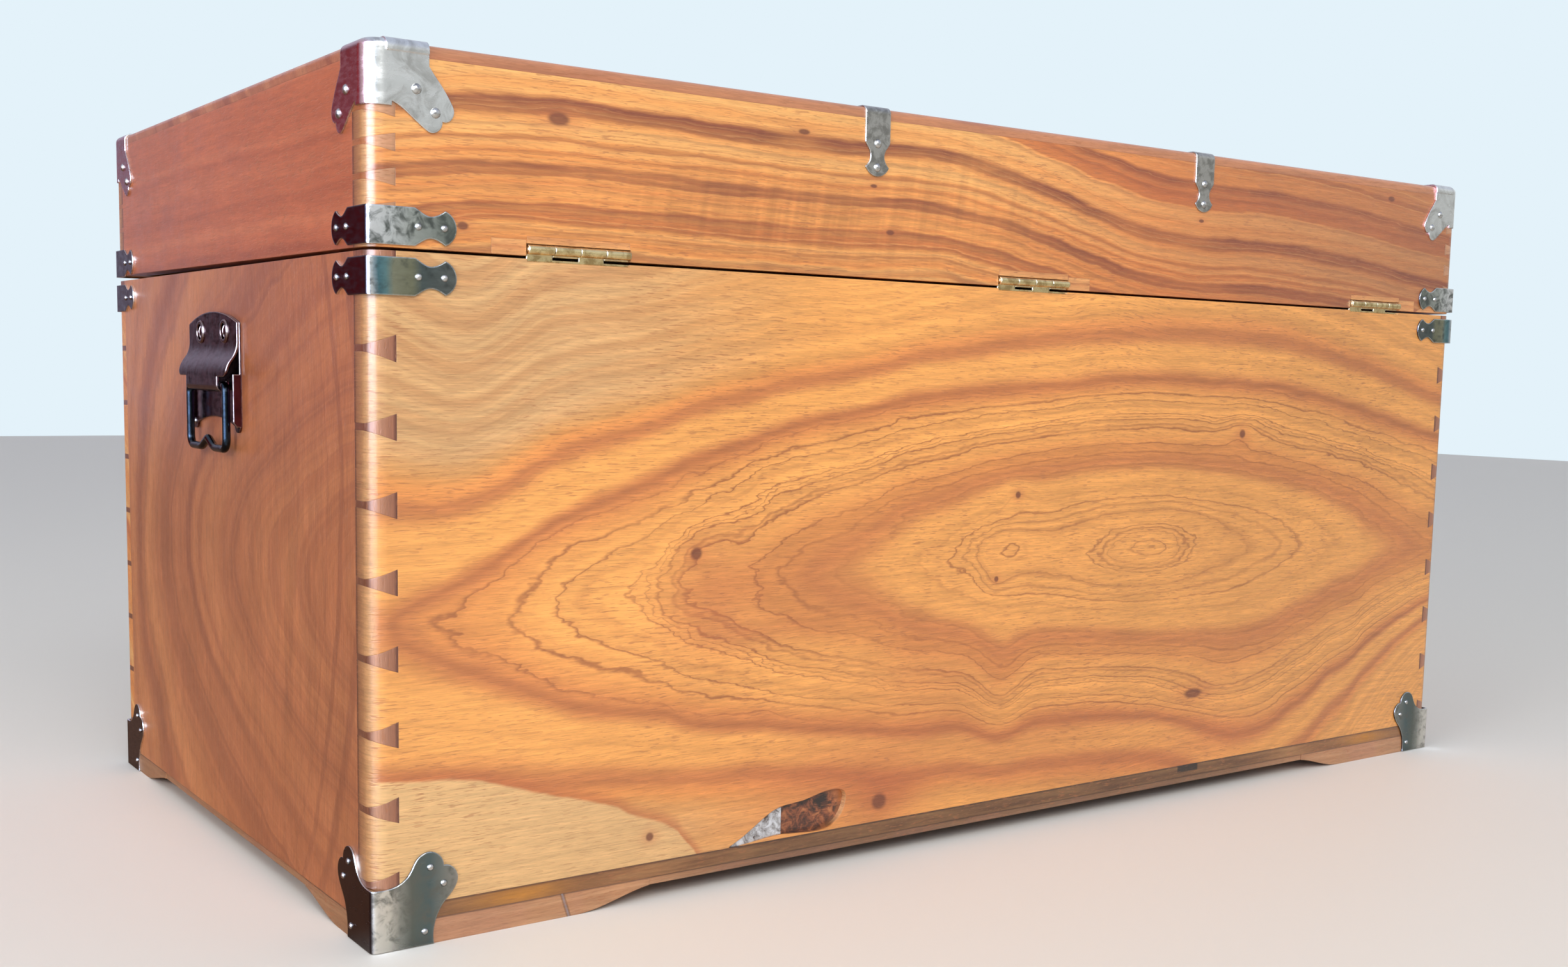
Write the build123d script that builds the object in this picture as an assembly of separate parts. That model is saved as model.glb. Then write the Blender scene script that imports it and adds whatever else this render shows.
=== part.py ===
from build123d import *
import os

# A camphor wood trunk with steel fittings, in millimetres.
# Seen from its front, +X is to the right, +Y to the back, where the hinges are, and +Z is up.
# The origin is on the floor, under the middle of the trunk.
# Each fitting is shaped once, at the back right corner, and mirrored to the other corners.

# Outside of the trunk
trunk_length = 950.0
trunk_depth = 502.0
trunk_height = 475.0
lid_height = 105.0
corner_radius = 10.0
lid_edge_radius = 3.5

# Boards: long ones at front and back, short ones at the ends
long_board_thick = 20.0
end_board_thick = 15.0
bottom_thick = 9.0
top_board_edge = 7.0
top_board_drop = 5.0
overrun = 2.0

# The seam: the lid is out of true, so its lower edge stands off most at the front right corner
seam_back = 1.6
seam_front_left = 0.4
seam_front_right = 4.2

# Dovetails: pins on the end boards, seen as end grain on the front and back
body_pin_wide = 14.2
body_pin_narrow = 2.2
body_pin_first = 13.0
body_pin_last = 49.8
body_pin_count = 8
lid_pin_wide = 9.2
lid_pin_narrow = 2.4
lid_pin_first = 20.0
lid_pin_last = 26.4
lid_pin_count = 4

# A knot that has fallen out of the back board, partly filled
knot_place_share = 0.521
knot_length = 90.0
knot_height = 26.0
knot_depth = 4.0
knot_shares = (
    (0.0, 0.04), (0.2, 0.42), (0.385, 0.76), (0.61, 0.85), (0.83, 1.0), (0.97, 0.88), (0.955, 0.45),
    (0.875, 0.14),
    (0.66, 0.03), (0.38, 0.1), (0.2, 0.04),
)
knot_fill_length = 38.0
knot_fill_drop = 1.0

# Plinth: a bracket foot at each corner, thin strips between them
foot_height = 14.0
foot_width = 34.0
foot_long_flat = 119.0
foot_long_reach = 170.0
foot_short_flat = 48.0
foot_short_reach = 104.0
foot_heel_shares = ((0.3, 0.14), (0.65, 0.6))
foot_mitre_reach = 102.0
strip_thick = 4.6
strip_setback = 0.6

# Round-headed nails of the fittings, with larger heads on the caps and the edge straps
nail_head_radius = 2.0
nail_head_height = 1.2
large_head_radius = 2.8
large_head_height = 1.6
nail_radius = 1.0
nail_length = 12.0

# Corner straps of the body and of the lid: like the brackets, folded sharper than the wood's corner
fold_radius = 2.0
strap_plate = 1.2
strap_width = 19.5
strap_reach = 48.0
body_strap_drop = 12.9
lid_strap_rise = 12.7
strap_neck_shares = ((0.52, 1.0), (0.6, 0.76), (0.69, 0.58), (0.79, 0.68), (0.87, 0.91))
strap_nail_shares = (0.56, 0.86)

# Corner brackets at the bottom
bracket_plate = 1.2
bracket_reach = 48.0
bracket_height = 51.5
bracket_lift = 0.3
bracket_foot_share = 0.71
bracket_waist_share = 0.666
bracket_side_shares = (
    (0.71, 0.0), (0.735, 0.27), (0.82, 0.42), (0.945, 0.55), (1.0, 0.69), (0.94, 0.8), (0.83, 0.835),
)
bracket_lobe_shares = (
    (0.83, 0.835), (0.8, 0.925), (0.667, 1.0), (0.525, 0.95), (0.427, 0.8), (0.3, 0.7), (0.15, 0.668),
    (0.0, 0.666),
)
bracket_nail_shares = ((0.67, 0.833), (0.83, 0.64), (0.6, 0.15))

# Caps on the top corners of the lid
cap_plate = 1.0
cap_reach = 46.8
cap_drop = 44.2
cap_lap = 0.7
cap_lap_drop = 5.2
cap_edge_share = 0.71
cap_waist_share = 0.735
cap_side_shares = ((0.71, 0.25), (0.83, 0.42), (0.965, 0.635), (1.0, 0.745), (0.955, 0.84), (0.86, 0.86))
cap_lobe_shares = (
    (0.86, 0.86), (0.85, 0.925), (0.745, 1.0), (0.65, 0.957), (0.49, 0.826), (0.34, 0.713), (0.2, 0.672),
    (0.09, 0.71), (0.0, 0.735),
)
cap_nail_shares = ((0.56, 0.52), (0.78, 0.77))

# Straps folded over the long edges of the lid
edge_strap_plate = 1.0
edge_strap_width = 19.3
edge_strap_drop = 41.6
edge_strap_place_share = 0.319
edge_strap_off_middle = -4.2
edge_strap_side_shares = (
    (1.0, 0.505), (0.8, 0.57), (0.59, 0.65), (0.57, 0.745), (0.73, 0.815), (0.94, 0.865),
)
edge_strap_nail_shares = (0.525, 0.872)

# Hinges: three butts, the barrels let into the lid
hinge_length = 63.5
hinge_place_shares = (0.745, 0.021, -0.775)
hinge_patch_sides = (1, -1, -1)
hinge_rise = 5.0
hinge_pin_radius = 1.25
hinge_knuckle_radius = 2.6
hinge_knuckle_count = 4
hinge_knuckle_gap = 0.3
hinge_plate = 1.4
hinge_leaf_width = 16.0
hinge_leaf_start = 1.2
hinge_running = 0.05
hinge_clearance = 0.6
hinge_screw_inset = 9.0
hinge_screw_spacing = 22.0

# Wood let into the lid's back rail round the hinges
slip_height = 3.8
slip_depth = 6.0
patch_length = 20.5
patch_height = 8.5
wedge_foot = 51.5
wedge_head = 32.0

# Countersunk screws of the hinges and the lock
screw_head_radius = 2.9
screw_radius = 1.4
screw_length = 12.0
screw_slot_width = 0.8
screw_slot_depth = 0.6

# Handles: a back plate with folded ears, a hood rolled round the bar of a hanging bail
handle_middle_y = -6.0
handle_axis_below = 73.0
handle_axis_proud = 6.3
handle_plate = 1.4
handle_width = 100.0
handle_above = 46.0
handle_shoulder_above = 38.5
handle_below = 29.0
handle_arch_below = 24.0
handle_ear_height = 5.5
handle_ear_above = 7.0
handle_ear_below = 25.0
handle_corner = 4.0
hood_plate = 1.4
hood_flat_above = 27.0
hood_wing_above = 5.5
hood_strap_width = 65.0
hood_wing_corner = 5.0
hood_corner_share = 0.29
hood_roll_turn = 235.0
bail_radius = 2.5
bail_running = 0.08
bail_half_width = 38.0
bail_length = 39.5
bail_top_corner = 5.0
bail_bottom_corner = 6.5
bail_cusp_height = 6.0
bail_cusp_half = 13.0
bail_cusp_corner = 5.0
bail_wave_corner = 14.0
handle_screw_half = 25.0
handle_screw_above = 33.5
handle_screw_head = 5.2
handle_screw_radius = 2.2
handle_screw_length = 13.0
handle_screw_slot = 1.3
handle_ring_radius = 7.0
handle_ring_height = 0.9
handle_nail_side = 44.0
handle_nail_below = 24.5

# Lock: a case let into the front board, a link on the lid, a bolt that slides through the link
lock_length = 64.0
lock_height = 40.0
lock_depth = 13.0
lock_wall = 1.5
selvedge_length = 78.0
selvedge_plate = 1.6
link_thick = 2.5
link_width = 8.0
link_reach = 20.0
link_eye_rim = 2.0
link_play = 0.8
bolt_thick = 3.6
bolt_height = 7.6
bolt_length = 22.0
bolt_start = 3.0
bolt_play = 0.3
bolt_ledge = 3.0
keyhole_radius = 3.2
keyhole_slot = 2.8
keyhole_length = 9.0
keyhole_below = 27.0
escutcheon_width = 32.0
escutcheon_height = 46.0
escutcheon_plate = 1.2
escutcheon_corner = 9.0
escutcheon_pin_head = 1.8
escutcheon_pin_radius = 0.7
escutcheon_pin_length = 6.0
escutcheon_pin_inset = 4.0
lock_screw_spacing = 32.0

# Places worked out from the sizes
half_length = trunk_length / 2
half_depth = trunk_depth / 2
body_top = trunk_height - lid_height
handle_axis_z = body_top - handle_axis_below
inner_x = half_length - end_board_thick
inner_y = half_depth - long_board_thick
boards_low = foot_height + bottom_thick
rail_top = trunk_height - top_board_edge
rail_low = body_top + seam_back
body_pin_pitch = (body_top - boards_low - body_pin_first - body_pin_last) / (body_pin_count - 1)
lid_pin_pitch = (rail_top - body_top - lid_pin_first - lid_pin_last) / (lid_pin_count - 1)
hinge_axis_z = body_top + hinge_rise
corner_mirror = Plane(origin=(half_length, half_depth, 0), z_dir=(1, -1, 0))
edge_mirror = Plane(origin=(0, half_depth, trunk_height), z_dir=(0, 1, -1))
parts = {}


def block(x_low, x_high, y_low, y_high, z_low, z_high):
    """A box between two limits on each axis."""
    middle = ((x_low + x_high) / 2, (y_low + y_high) / 2, (z_low + z_high) / 2)
    return Pos(*middle) * Box(x_high - x_low, y_high - y_low, z_high - z_low)


def face_of(plane, runs):
    """A face from runs of points: two make a line, three an arc, more a curve."""
    edges = []
    for run in runs:
        if len(run) == 2:
            edges.append(Line(*run))
        elif len(run) == 3:
            edges.append(ThreePointArc(*run))
        else:
            edges.append(Spline(*run))
    return plane * make_face(edges)


def scaled(shares, width, height):
    """Points given as shares of a width and a height."""
    return [(across * width, up * height) for across, up in shares]


def cut(piece, tools):
    """The piece without the tools that reach it."""
    box = piece.bounding_box()
    near = []
    for tool in tools:
        other = tool.bounding_box()
        apart = (
            other.min.X >= box.max.X or other.max.X <= box.min.X
            or other.min.Y >= box.max.Y or other.max.Y <= box.min.Y
            or other.min.Z >= box.max.Z or other.max.Z <= box.min.Z
        )
        if not apart:
            near.append(tool)
    return piece - near if near else piece


def four_corners(shape):
    """Copies of a back right shape at the four corners, by name."""
    return {
        "back_right": shape,
        "back_left": mirror(shape, about=Plane.YZ),
        "front_right": mirror(shape, about=Plane.XZ),
        "front_left": Rot(0, 0, 180) * shape,
    }


def all_four(shapes):
    """Copies of a list of back right shapes at the four corners, in one list."""
    return [copy for shape in shapes for copy in four_corners(shape).values()]


def trunk_form(proud, z_low, z_high):
    """The outside of the trunk with its rounded corners, grown by proud."""
    plan = RectangleRounded(trunk_length + 2 * proud, trunk_depth + 2 * proud, corner_radius + proud)
    return extrude(Pos(0, 0, z_low) * plan, amount=z_high - z_low)


def folded_form(proud, z_low, z_high):
    """A band round the trunk, as thick as proud, with the sharper corners of a folded plate."""
    outer = RectangleRounded(trunk_length + 2 * proud, trunk_depth + 2 * proud, fold_radius + proud)
    inner = RectangleRounded(trunk_length, trunk_depth, fold_radius)
    return extrude(Pos(0, 0, z_low) * (outer - inner), amount=z_high - z_low)


def lid_form(proud):
    """The outside of the lid above the seam, with its rounded top edge, grown by proud."""
    form = trunk_form(proud, body_top, trunk_height + proud)
    return fillet(form.edges().group_by(Axis.Z)[-1], lid_edge_radius + proud)


def dome(radius, height):
    """An arc from (radius, 0) up to (0, height), level where it ends."""
    ball = (radius**2 + height**2) / (2 * height)
    middle = (radius / 2, (ball**2 - (radius / 2) ** 2) ** 0.5 - ball + height)
    return ThreePointArc((radius, 0), middle, (0, height))


def domed_pin(head_radius, head_height, shank_radius, shank_length):
    """A round pin that points down, its domed head on z = 0."""
    outline = [
        Line((0, -shank_length), (shank_radius, -shank_length)),
        Line((shank_radius, -shank_length), (shank_radius, 0)),
        Line((shank_radius, 0), (head_radius, 0)),
        dome(head_radius, head_height),
        Line((0, head_height), (0, -shank_length)),
    ]
    return revolve(Plane.XZ * make_face(outline), axis=Axis.Z)


def round_nail():
    """A round-headed nail of the straps, brackets and handles."""
    return domed_pin(nail_head_radius, nail_head_height, nail_radius, nail_length)


def large_nail():
    """A round-headed nail of the caps and the edge straps."""
    return domed_pin(large_head_radius, large_head_height, nail_radius, nail_length)


def flat_screw():
    """A countersunk slotted screw that points down, its head flush with z = 0."""
    head = Pos(0, 0, -hinge_plate / 2) * Cone(screw_radius, screw_head_radius, hinge_plate)
    shank = Pos(0, 0, -screw_length / 2) * Cylinder(screw_radius, screw_length)
    slot = Box(2 * screw_head_radius, screw_slot_width, 2 * screw_slot_depth)
    return head + shank - slot


def placed(shape, point, outwards):
    """A shape whose z = 0 lies at a point, turned to face outwards."""
    return Plane(origin=point, z_dir=outwards) * shape


def pins(wide, narrow, pitch, first, count, z_low, z_high):
    """The dovetail pins of one right-hand end board at the back, with a half pin at the top."""
    outlines = []
    for number in range(count):
        middle = z_low + first + number * pitch
        outlines.append((middle - wide / 2, middle - narrow / 2, middle + narrow / 2, middle + wide / 2))
    outlines.append((z_high - (wide + narrow) / 2, z_high - narrow, z_high, z_high))
    made = []
    for inner_low, outer_low, outer_high, inner_high in outlines:
        outline = Polyline(
            (half_length + overrun, inner_y, outer_low),
            (half_length + overrun, inner_y, outer_high),
            (inner_x, inner_y, inner_high),
            (inner_x, inner_y, inner_low),
            close=True,
        )
        made.append(extrude(make_face(outline), amount=long_board_thick, dir=(0, 1, 0)))
    return made


def strap_outline():
    """One wing of a corner strap, from the corner outwards, its middle on y = 0."""
    half = strap_width / 2
    upper = scaled(strap_neck_shares, strap_reach, half)
    lower = [(across, -up) for across, up in upper]
    start = -strap_plate - overrun
    return [
        ((start, half), upper[0]),
        upper,
        (upper[-1], (strap_reach, 0), lower[-1]),
        lower[::-1],
        (lower[0], (start, -half)),
        ((start, -half), (start, half)),
    ]


def bracket_outline():
    """One wing of a bottom bracket, from the corner outwards and up from the floor."""
    side = scaled(bracket_side_shares, bracket_reach, bracket_height)
    lobe = scaled(bracket_lobe_shares, bracket_reach, bracket_height)
    start = -bracket_plate - overrun
    waist = bracket_waist_share * bracket_height
    foot = (bracket_foot_share * bracket_reach, bracket_lift)
    return [
        ((start, bracket_lift), foot),
        [foot] + side[1:],
        lobe,
        (lobe[-1], (start, waist)),
        ((start, waist), (start, bracket_lift)),
    ]


def cap_outline():
    """One wing of a lid cap, from the corner outwards and down from the top."""
    side = [(across, -down) for across, down in scaled(cap_side_shares, cap_reach, cap_drop)]
    lobe = [(across, -down) for across, down in scaled(cap_lobe_shares, cap_reach, cap_drop)]
    start = -cap_plate - overrun
    top = (cap_edge_share * cap_reach, -start)
    waist = -cap_waist_share * cap_drop
    return [
        ((start, -start), top),
        (top, side[0]),
        side,
        lobe,
        (lobe[-1], (start, waist)),
        ((start, waist), (start, -start)),
    ]


def edge_strap_outline():
    """The side wing of an edge strap, down from the top, its middle on x = 0."""
    half = edge_strap_width / 2
    right = [(across, -down) for across, down in scaled(edge_strap_side_shares, half, edge_strap_drop)]
    left = [(-across, down) for across, down in right]
    top = edge_strap_plate + overrun
    return [
        ((-half, top), (half, top)),
        ((half, top), right[0]),
        right,
        (right[-1], (0, -edge_strap_drop), left[-1]),
        left[::-1],
        (left[0], (-half, top)),
    ]


def at_height(height):
    """The plane of the back wall with its origin at the corner, at a height."""
    return Plane(origin=(half_length, half_depth, height), x_dir=(-1, 0, 0), z_dir=(0, 1, 0))


def wall_nails(nail, spots, plate, height):
    """Nails through the back wing of a corner fitting, at spots from the corner."""
    made = []
    for across, up in spots:
        point = (half_length - across, half_depth + plate, height + up)
        made.append(placed(nail, point, (0, 1, 0)))
    return made


def both_walls(shapes):
    """The shapes of the back wall and their copies on the end wall."""
    return shapes + [mirror(shape, about=corner_mirror) for shape in shapes]


def make_strap(middle):
    """A corner strap and its nails round the back right corner, at a height."""
    reach = corner_radius + strap_plate + overrun
    wing = extrude(face_of(at_height(middle), strap_outline()), amount=reach, both=True)
    wings = wing + mirror(wing, about=corner_mirror)
    band = folded_form(strap_plate, middle - strap_width, middle + strap_width)
    spots = [(share * strap_reach, 0) for share in strap_nail_shares]
    nails = both_walls(wall_nails(round_nail(), spots, strap_plate, middle))
    return cut(band & wings, nails), nails


def make_bracket():
    """A bottom bracket and its nails round the back right corner."""
    reach = corner_radius + bracket_plate + overrun
    wing = extrude(face_of(at_height(0), bracket_outline()), amount=reach, both=True)
    wings = wing + mirror(wing, about=corner_mirror)
    band = folded_form(bracket_plate, 0, bracket_height + overrun)
    spots = scaled(bracket_nail_shares, bracket_reach, bracket_height)
    nails = both_walls(wall_nails(round_nail(), spots, bracket_plate, 0))
    return cut(band & wings, nails), nails


def make_cap():
    """A three-sided cap and its nails on the back right top corner of the lid."""
    reach = corner_radius + cap_plate + overrun
    back_wing = extrude(face_of(at_height(trunk_height), cap_outline()), amount=reach, both=True)
    top_wing = mirror(back_wing, about=edge_mirror)
    top_wing = top_wing & mirror(top_wing, about=corner_mirror)
    corner = block(
        half_length - 2 * cap_reach, half_length + reach,
        half_depth - 2 * cap_reach, half_depth + reach,
        trunk_height - 2 * cap_drop, trunk_height + reach,
    )
    shell = (lid_form(cap_plate) & corner) - lid_form(0)
    cap = shell & back_wing
    cap += shell & mirror(back_wing, about=corner_mirror)
    cap += shell & top_wing
    fold = block(
        half_length - cap_edge_share * cap_reach, half_length - corner_radius,
        half_depth - reach, half_depth + reach, trunk_height - cap_lap_drop, trunk_height + reach,
    )
    lap = ((lid_form(cap_plate + cap_lap) & corner) - lid_form(cap_plate)) & fold
    spots = [(across, -down) for across, down in scaled(cap_nail_shares, cap_reach, cap_drop)]
    nails = wall_nails(large_nail(), spots, cap_plate, trunk_height)
    nails = both_walls(nails) + [mirror(nail, about=edge_mirror) for nail in nails]
    return cut(cap + lap, nails), nails


def make_edge_strap():
    """A strap folded over the back edge of the lid on its right-hand side, and its nails."""
    middle = edge_strap_place_share * half_length
    reach = lid_edge_radius + edge_strap_plate + overrun
    plane = Plane(origin=(middle, half_depth, trunk_height), x_dir=(-1, 0, 0), z_dir=(0, 1, 0))
    wing = extrude(face_of(plane, edge_strap_outline()), amount=reach, both=True)
    wings = wing + mirror(wing, about=edge_mirror)
    near = block(
        middle - edge_strap_width, middle + edge_strap_width,
        half_depth - 2 * edge_strap_drop, half_depth + reach,
        trunk_height - 2 * edge_strap_drop, trunk_height + reach,
    )
    shell = ((lid_form(edge_strap_plate) & near) - lid_form(0)) & wings
    nails = []
    for share in edge_strap_nail_shares:
        point = (middle, half_depth + edge_strap_plate, trunk_height - share * edge_strap_drop)
        nails.append(placed(large_nail(), point, (0, 1, 0)))
    nails += [mirror(nail, about=edge_mirror) for nail in nails]
    return cut(shell, nails), nails


def make_fittings():
    """All corner and edge fittings with their nails. Gives back the nails of body and lid."""
    body_nails = []
    lid_nails = []
    strap, nails = make_strap(body_top - body_strap_drop)
    for name, copy in four_corners(strap).items():
        parts["body_strap_" + name] = copy
    body_nails += all_four(nails)
    bracket, nails = make_bracket()
    for name, copy in four_corners(bracket).items():
        parts["bottom_bracket_" + name] = copy
    body_nails += all_four(nails)
    strap, nails = make_strap(body_top + lid_strap_rise)
    for name, copy in four_corners(strap).items():
        parts["lid_strap_" + name] = copy
    lid_nails += all_four(nails)
    cap, nails = make_cap()
    for name, copy in four_corners(cap).items():
        parts["lid_cap_" + name] = copy
    lid_nails += all_four(nails)
    strap, nails = make_edge_strap()
    shift = Pos(edge_strap_off_middle, 0, 0)
    for name, copy in four_corners(strap).items():
        parts["lid_edge_strap_" + name] = shift * copy
    lid_nails += [shift * nail for nail in all_four(nails)]
    return body_nails, lid_nails


def hinge_places():
    """The middle of each hinge along the trunk, and the side that its old recess lies on."""
    return [(share * half_length, side) for share, side in zip(hinge_place_shares, hinge_patch_sides)]


def knuckle_span(number):
    """Where one knuckle starts and ends, from the middle of the hinge."""
    pitch = hinge_length / hinge_knuckle_count
    start = -hinge_length / 2 + number * pitch
    return start + hinge_knuckle_gap / 2, start + pitch - hinge_knuckle_gap / 2


def make_leaf(middle, numbers, z_low, z_high, start, bore):
    """One leaf: a plate between two heights, webs that rise to its knuckles, and the knuckles."""
    left, right = middle - hinge_length / 2, middle + hinge_length / 2
    leaf = block(left, right, half_depth - hinge_leaf_width, half_depth - start, z_low, z_high)
    for number in numbers:
        low, high = knuckle_span(number)
        first, last = middle + low, middle + high
        leaf += block(first, last, half_depth - start - overrun, half_depth - hinge_leaf_start, z_low, z_high)
        leaf += block(
            first, last, half_depth - hinge_knuckle_radius, half_depth - hinge_leaf_start, z_low, hinge_axis_z
        )
        barrel = Cylinder(hinge_knuckle_radius, last - first)
        leaf += placed(barrel, ((first + last) / 2, half_depth, hinge_axis_z), (1, 0, 0))
    hole = Cylinder(bore, hinge_length + overrun)
    return leaf - placed(hole, (middle, half_depth, hinge_axis_z), (1, 0, 0))


def make_hinges():
    """The hinges. Gives back the screws of body and lid, and the wood that each hinge displaces."""
    body_screws, lid_screws, pins_made = [], [], []
    body_tools, lid_tools, slips = [], [], []
    for count, (middle, side) in enumerate(hinge_places(), start=1):
        left, right = middle - hinge_length / 2, middle + hinge_length / 2
        lid_start = hinge_knuckle_radius + hinge_clearance
        body_leaf = make_leaf(
            middle, (1, 3), body_top - hinge_plate, body_top, hinge_leaf_start, hinge_pin_radius
        )
        lid_leaf = make_leaf(
            middle, (0, 2), rail_low, rail_low + hinge_plate, lid_start, hinge_pin_radius + hinge_running
        )
        near_body, near_lid = [], []
        for step in (-1, 0, 1):
            across = middle + step * hinge_screw_spacing
            inset = half_depth - hinge_screw_inset
            near_body.append(placed(flat_screw(), (across, inset, body_top), (0, 0, 1)))
            near_lid.append(placed(flat_screw(), (across, inset, rail_low), (0, 0, -1)))
        parts["hinge_body_leaf_%d" % count] = cut(body_leaf, near_body)
        parts["hinge_lid_leaf_%d" % count] = cut(lid_leaf, near_lid)
        pin = Cylinder(hinge_pin_radius, hinge_length)
        pins_made.append(placed(pin, (middle, half_depth, hinge_axis_z), (1, 0, 0)))
        body_screws += near_body
        lid_screws += near_lid
        room = hinge_knuckle_radius + hinge_clearance
        body_tools.append(block(
            left, right, half_depth - hinge_leaf_width, half_depth + overrun,
            body_top - hinge_plate, body_top + overrun,
        ))
        lid_tools.append(block(
            left, right, half_depth - hinge_leaf_width, half_depth - room, body_top, rail_low + hinge_plate
        ))
        lid_tools.append(block(
            left - hinge_clearance, right + hinge_clearance,
            half_depth - room, half_depth + overrun, body_top, hinge_axis_z + room,
        ))
        slips.append(block(
            left, right, half_depth - slip_depth, half_depth,
            hinge_axis_z + room, hinge_axis_z + room + slip_height,
        ))
        edge = middle + side * (hinge_length / 2 + hinge_clearance)
        far = edge + side * patch_length
        slips.append(block(
            min(edge, far), max(edge, far), half_depth - slip_depth, half_depth,
            rail_low, rail_low + patch_height,
        ))
    wedge = Polyline(
        (-half_length + wedge_foot, half_depth, rail_low),
        (-half_length + wedge_head, half_depth, rail_low + patch_height),
        (-half_length, half_depth, rail_low + patch_height),
        (-half_length, half_depth, rail_low),
        close=True,
    )
    wedge = extrude(make_face(wedge), amount=slip_depth, dir=(0, -1, 0))
    slips.append(wedge & trunk_form(0, body_top, rail_top))
    parts["hinge_pins"] = Compound(children=pins_made)
    return body_screws, lid_screws, body_tools, lid_tools, slips


def handle_outline(below):
    """The outline of a handle plate: arched at the top, two lobes at the bottom."""
    half = handle_width / 2
    lobe = half - handle_ear_height
    return [
        ((-half, handle_shoulder_above), (0, handle_above), (half, handle_shoulder_above)),
        ((half, handle_shoulder_above), (half, -handle_ear_below)),
        ((half, -handle_ear_below), (lobe, -below), (lobe - handle_ear_height, -handle_ear_below)),
        ((lobe - handle_ear_height, -handle_ear_below), (0, -handle_arch_below + handle_corner),
         (-lobe + handle_ear_height, -handle_ear_below)),
        ((-lobe + handle_ear_height, -handle_ear_below), (-lobe, -below), (-half, -handle_ear_below)),
        ((-half, -handle_ear_below), (-half, handle_shoulder_above)),
    ]


def handle_plane(proud):
    """The end wall's plane at the handle: x towards the back, y up, origin on the bail's axis."""
    origin = (half_length + proud, handle_middle_y, handle_axis_z)
    return Plane(origin=origin, x_dir=(0, 1, 0), z_dir=(1, 0, 0))


def side_plane():
    """The plane across the handle's middle: x away from the end wall, y up."""
    return Plane(origin=(half_length, handle_middle_y, handle_axis_z), x_dir=(1, 0, 0), z_dir=(0, -1, 0))


def make_backplate():
    """The flat plate on the end board, with an ear folded out along each side."""
    shape = face_of(handle_plane(0), handle_outline(handle_below))
    plate = extrude(shape, amount=handle_plate, dir=(1, 0, 0))
    half = handle_width / 2
    rise = handle_ear_height - handle_corner
    ear = face_of(side_plane(), [
        ((0, handle_ear_above), (handle_ear_height, handle_ear_above)),
        ((handle_ear_height, handle_ear_above), (handle_ear_height, -handle_ear_below + handle_corner)),
        ((handle_ear_height, -handle_ear_below + handle_corner),
         (rise + handle_corner / 2, -handle_ear_below), (0, -handle_ear_below)),
        ((0, -handle_ear_below), (0, handle_ear_above)),
    ])
    ear = Pos(0, half - handle_plate, 0) * extrude(ear, amount=handle_plate, dir=(0, 1, 0))
    return plate + ear + mirror(ear, about=Plane(origin=(0, handle_middle_y, 0), z_dir=(0, 1, 0)))


def make_hood():
    """The hood: flat on the back plate, swept out from it, its middle rolled round the bail's bar."""
    rest = handle_plate + hood_plate / 2
    roll = bail_radius + bail_running + hood_plate / 2
    front = handle_axis_proud + roll
    middle = ((rest + front) / 2, (hood_flat_above + hood_wing_above) / 2)
    plane = side_plane()
    flat = Line((rest, handle_above + overrun), (rest, hood_flat_above))
    out = TangentArc((rest, hood_flat_above), middle, tangent=(0, -1))
    back = TangentArc(middle, (front, hood_wing_above), tangent=out % 1)
    down = Line((front, hood_wing_above), (front, 0))
    curl = CenterArc((handle_axis_proud, 0), roll, 0, -hood_roll_turn)
    cover = plane * section((rest, handle_above + overrun), handle_width)
    cover = sweep(cover, path=plane * Wire([flat, out, back]))
    strap = plane * section((front, hood_wing_above), hood_strap_width)
    strap = sweep(strap, path=plane * Wire([down, curl]))
    half = handle_width / 2
    corner = hood_wing_corner
    inset = hood_corner_share * corner
    shape = face_of(handle_plane(0), [
        ((-half, handle_shoulder_above), (0, handle_above), (half, handle_shoulder_above)),
        ((half, handle_shoulder_above), (half, hood_wing_above + corner)),
        ((half, hood_wing_above + corner), (half - inset, hood_wing_above + inset),
         (half - corner, hood_wing_above)),
        ((half - corner, hood_wing_above), (-half + corner, hood_wing_above)),
        ((-half + corner, hood_wing_above), (-half + inset, hood_wing_above + inset),
         (-half, hood_wing_above + corner)),
        ((-half, hood_wing_above + corner), (-half, handle_shoulder_above)),
    ])
    return (cover & extrude(shape, amount=2 * front, dir=(1, 0, 0))) + strap


def section(point, width):
    """The hood's cross-section at the start of a path that runs down."""
    return Plane(origin=(*point, 0), x_dir=(1, 0, 0), z_dir=(0, -1, 0)) * Rectangle(hood_plate, width)


def make_bail():
    """The hanging bail: a closed loop of round bar with a cusp in its lower side."""
    half = bail_half_width
    low = -bail_length
    route = FilletPolyline(
        (half, 0), (half, low), (bail_cusp_half, low), (0, low + bail_cusp_height),
        (-bail_cusp_half, low), (-half, low), (-half, 0),
        radius=[bail_top_corner, bail_bottom_corner, bail_wave_corner, bail_cusp_corner,
                bail_wave_corner, bail_bottom_corner, bail_top_corner],
        close=True,
    )
    path = handle_plane(handle_axis_proud) * route
    start = Plane(origin=path @ 0, z_dir=path % 0)
    return sweep(start * Circle(bail_radius), path=path)


def handle_screw():
    """A large round-headed slotted screw that points down, its head from z = 0 up."""
    crown = handle_ring_height + hood_plate
    screw = domed_pin(handle_screw_head, crown, handle_screw_radius, handle_screw_length)
    return screw - Pos(0, 0, crown) * Box(2 * handle_screw_head, handle_screw_slot, crown)


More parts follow.
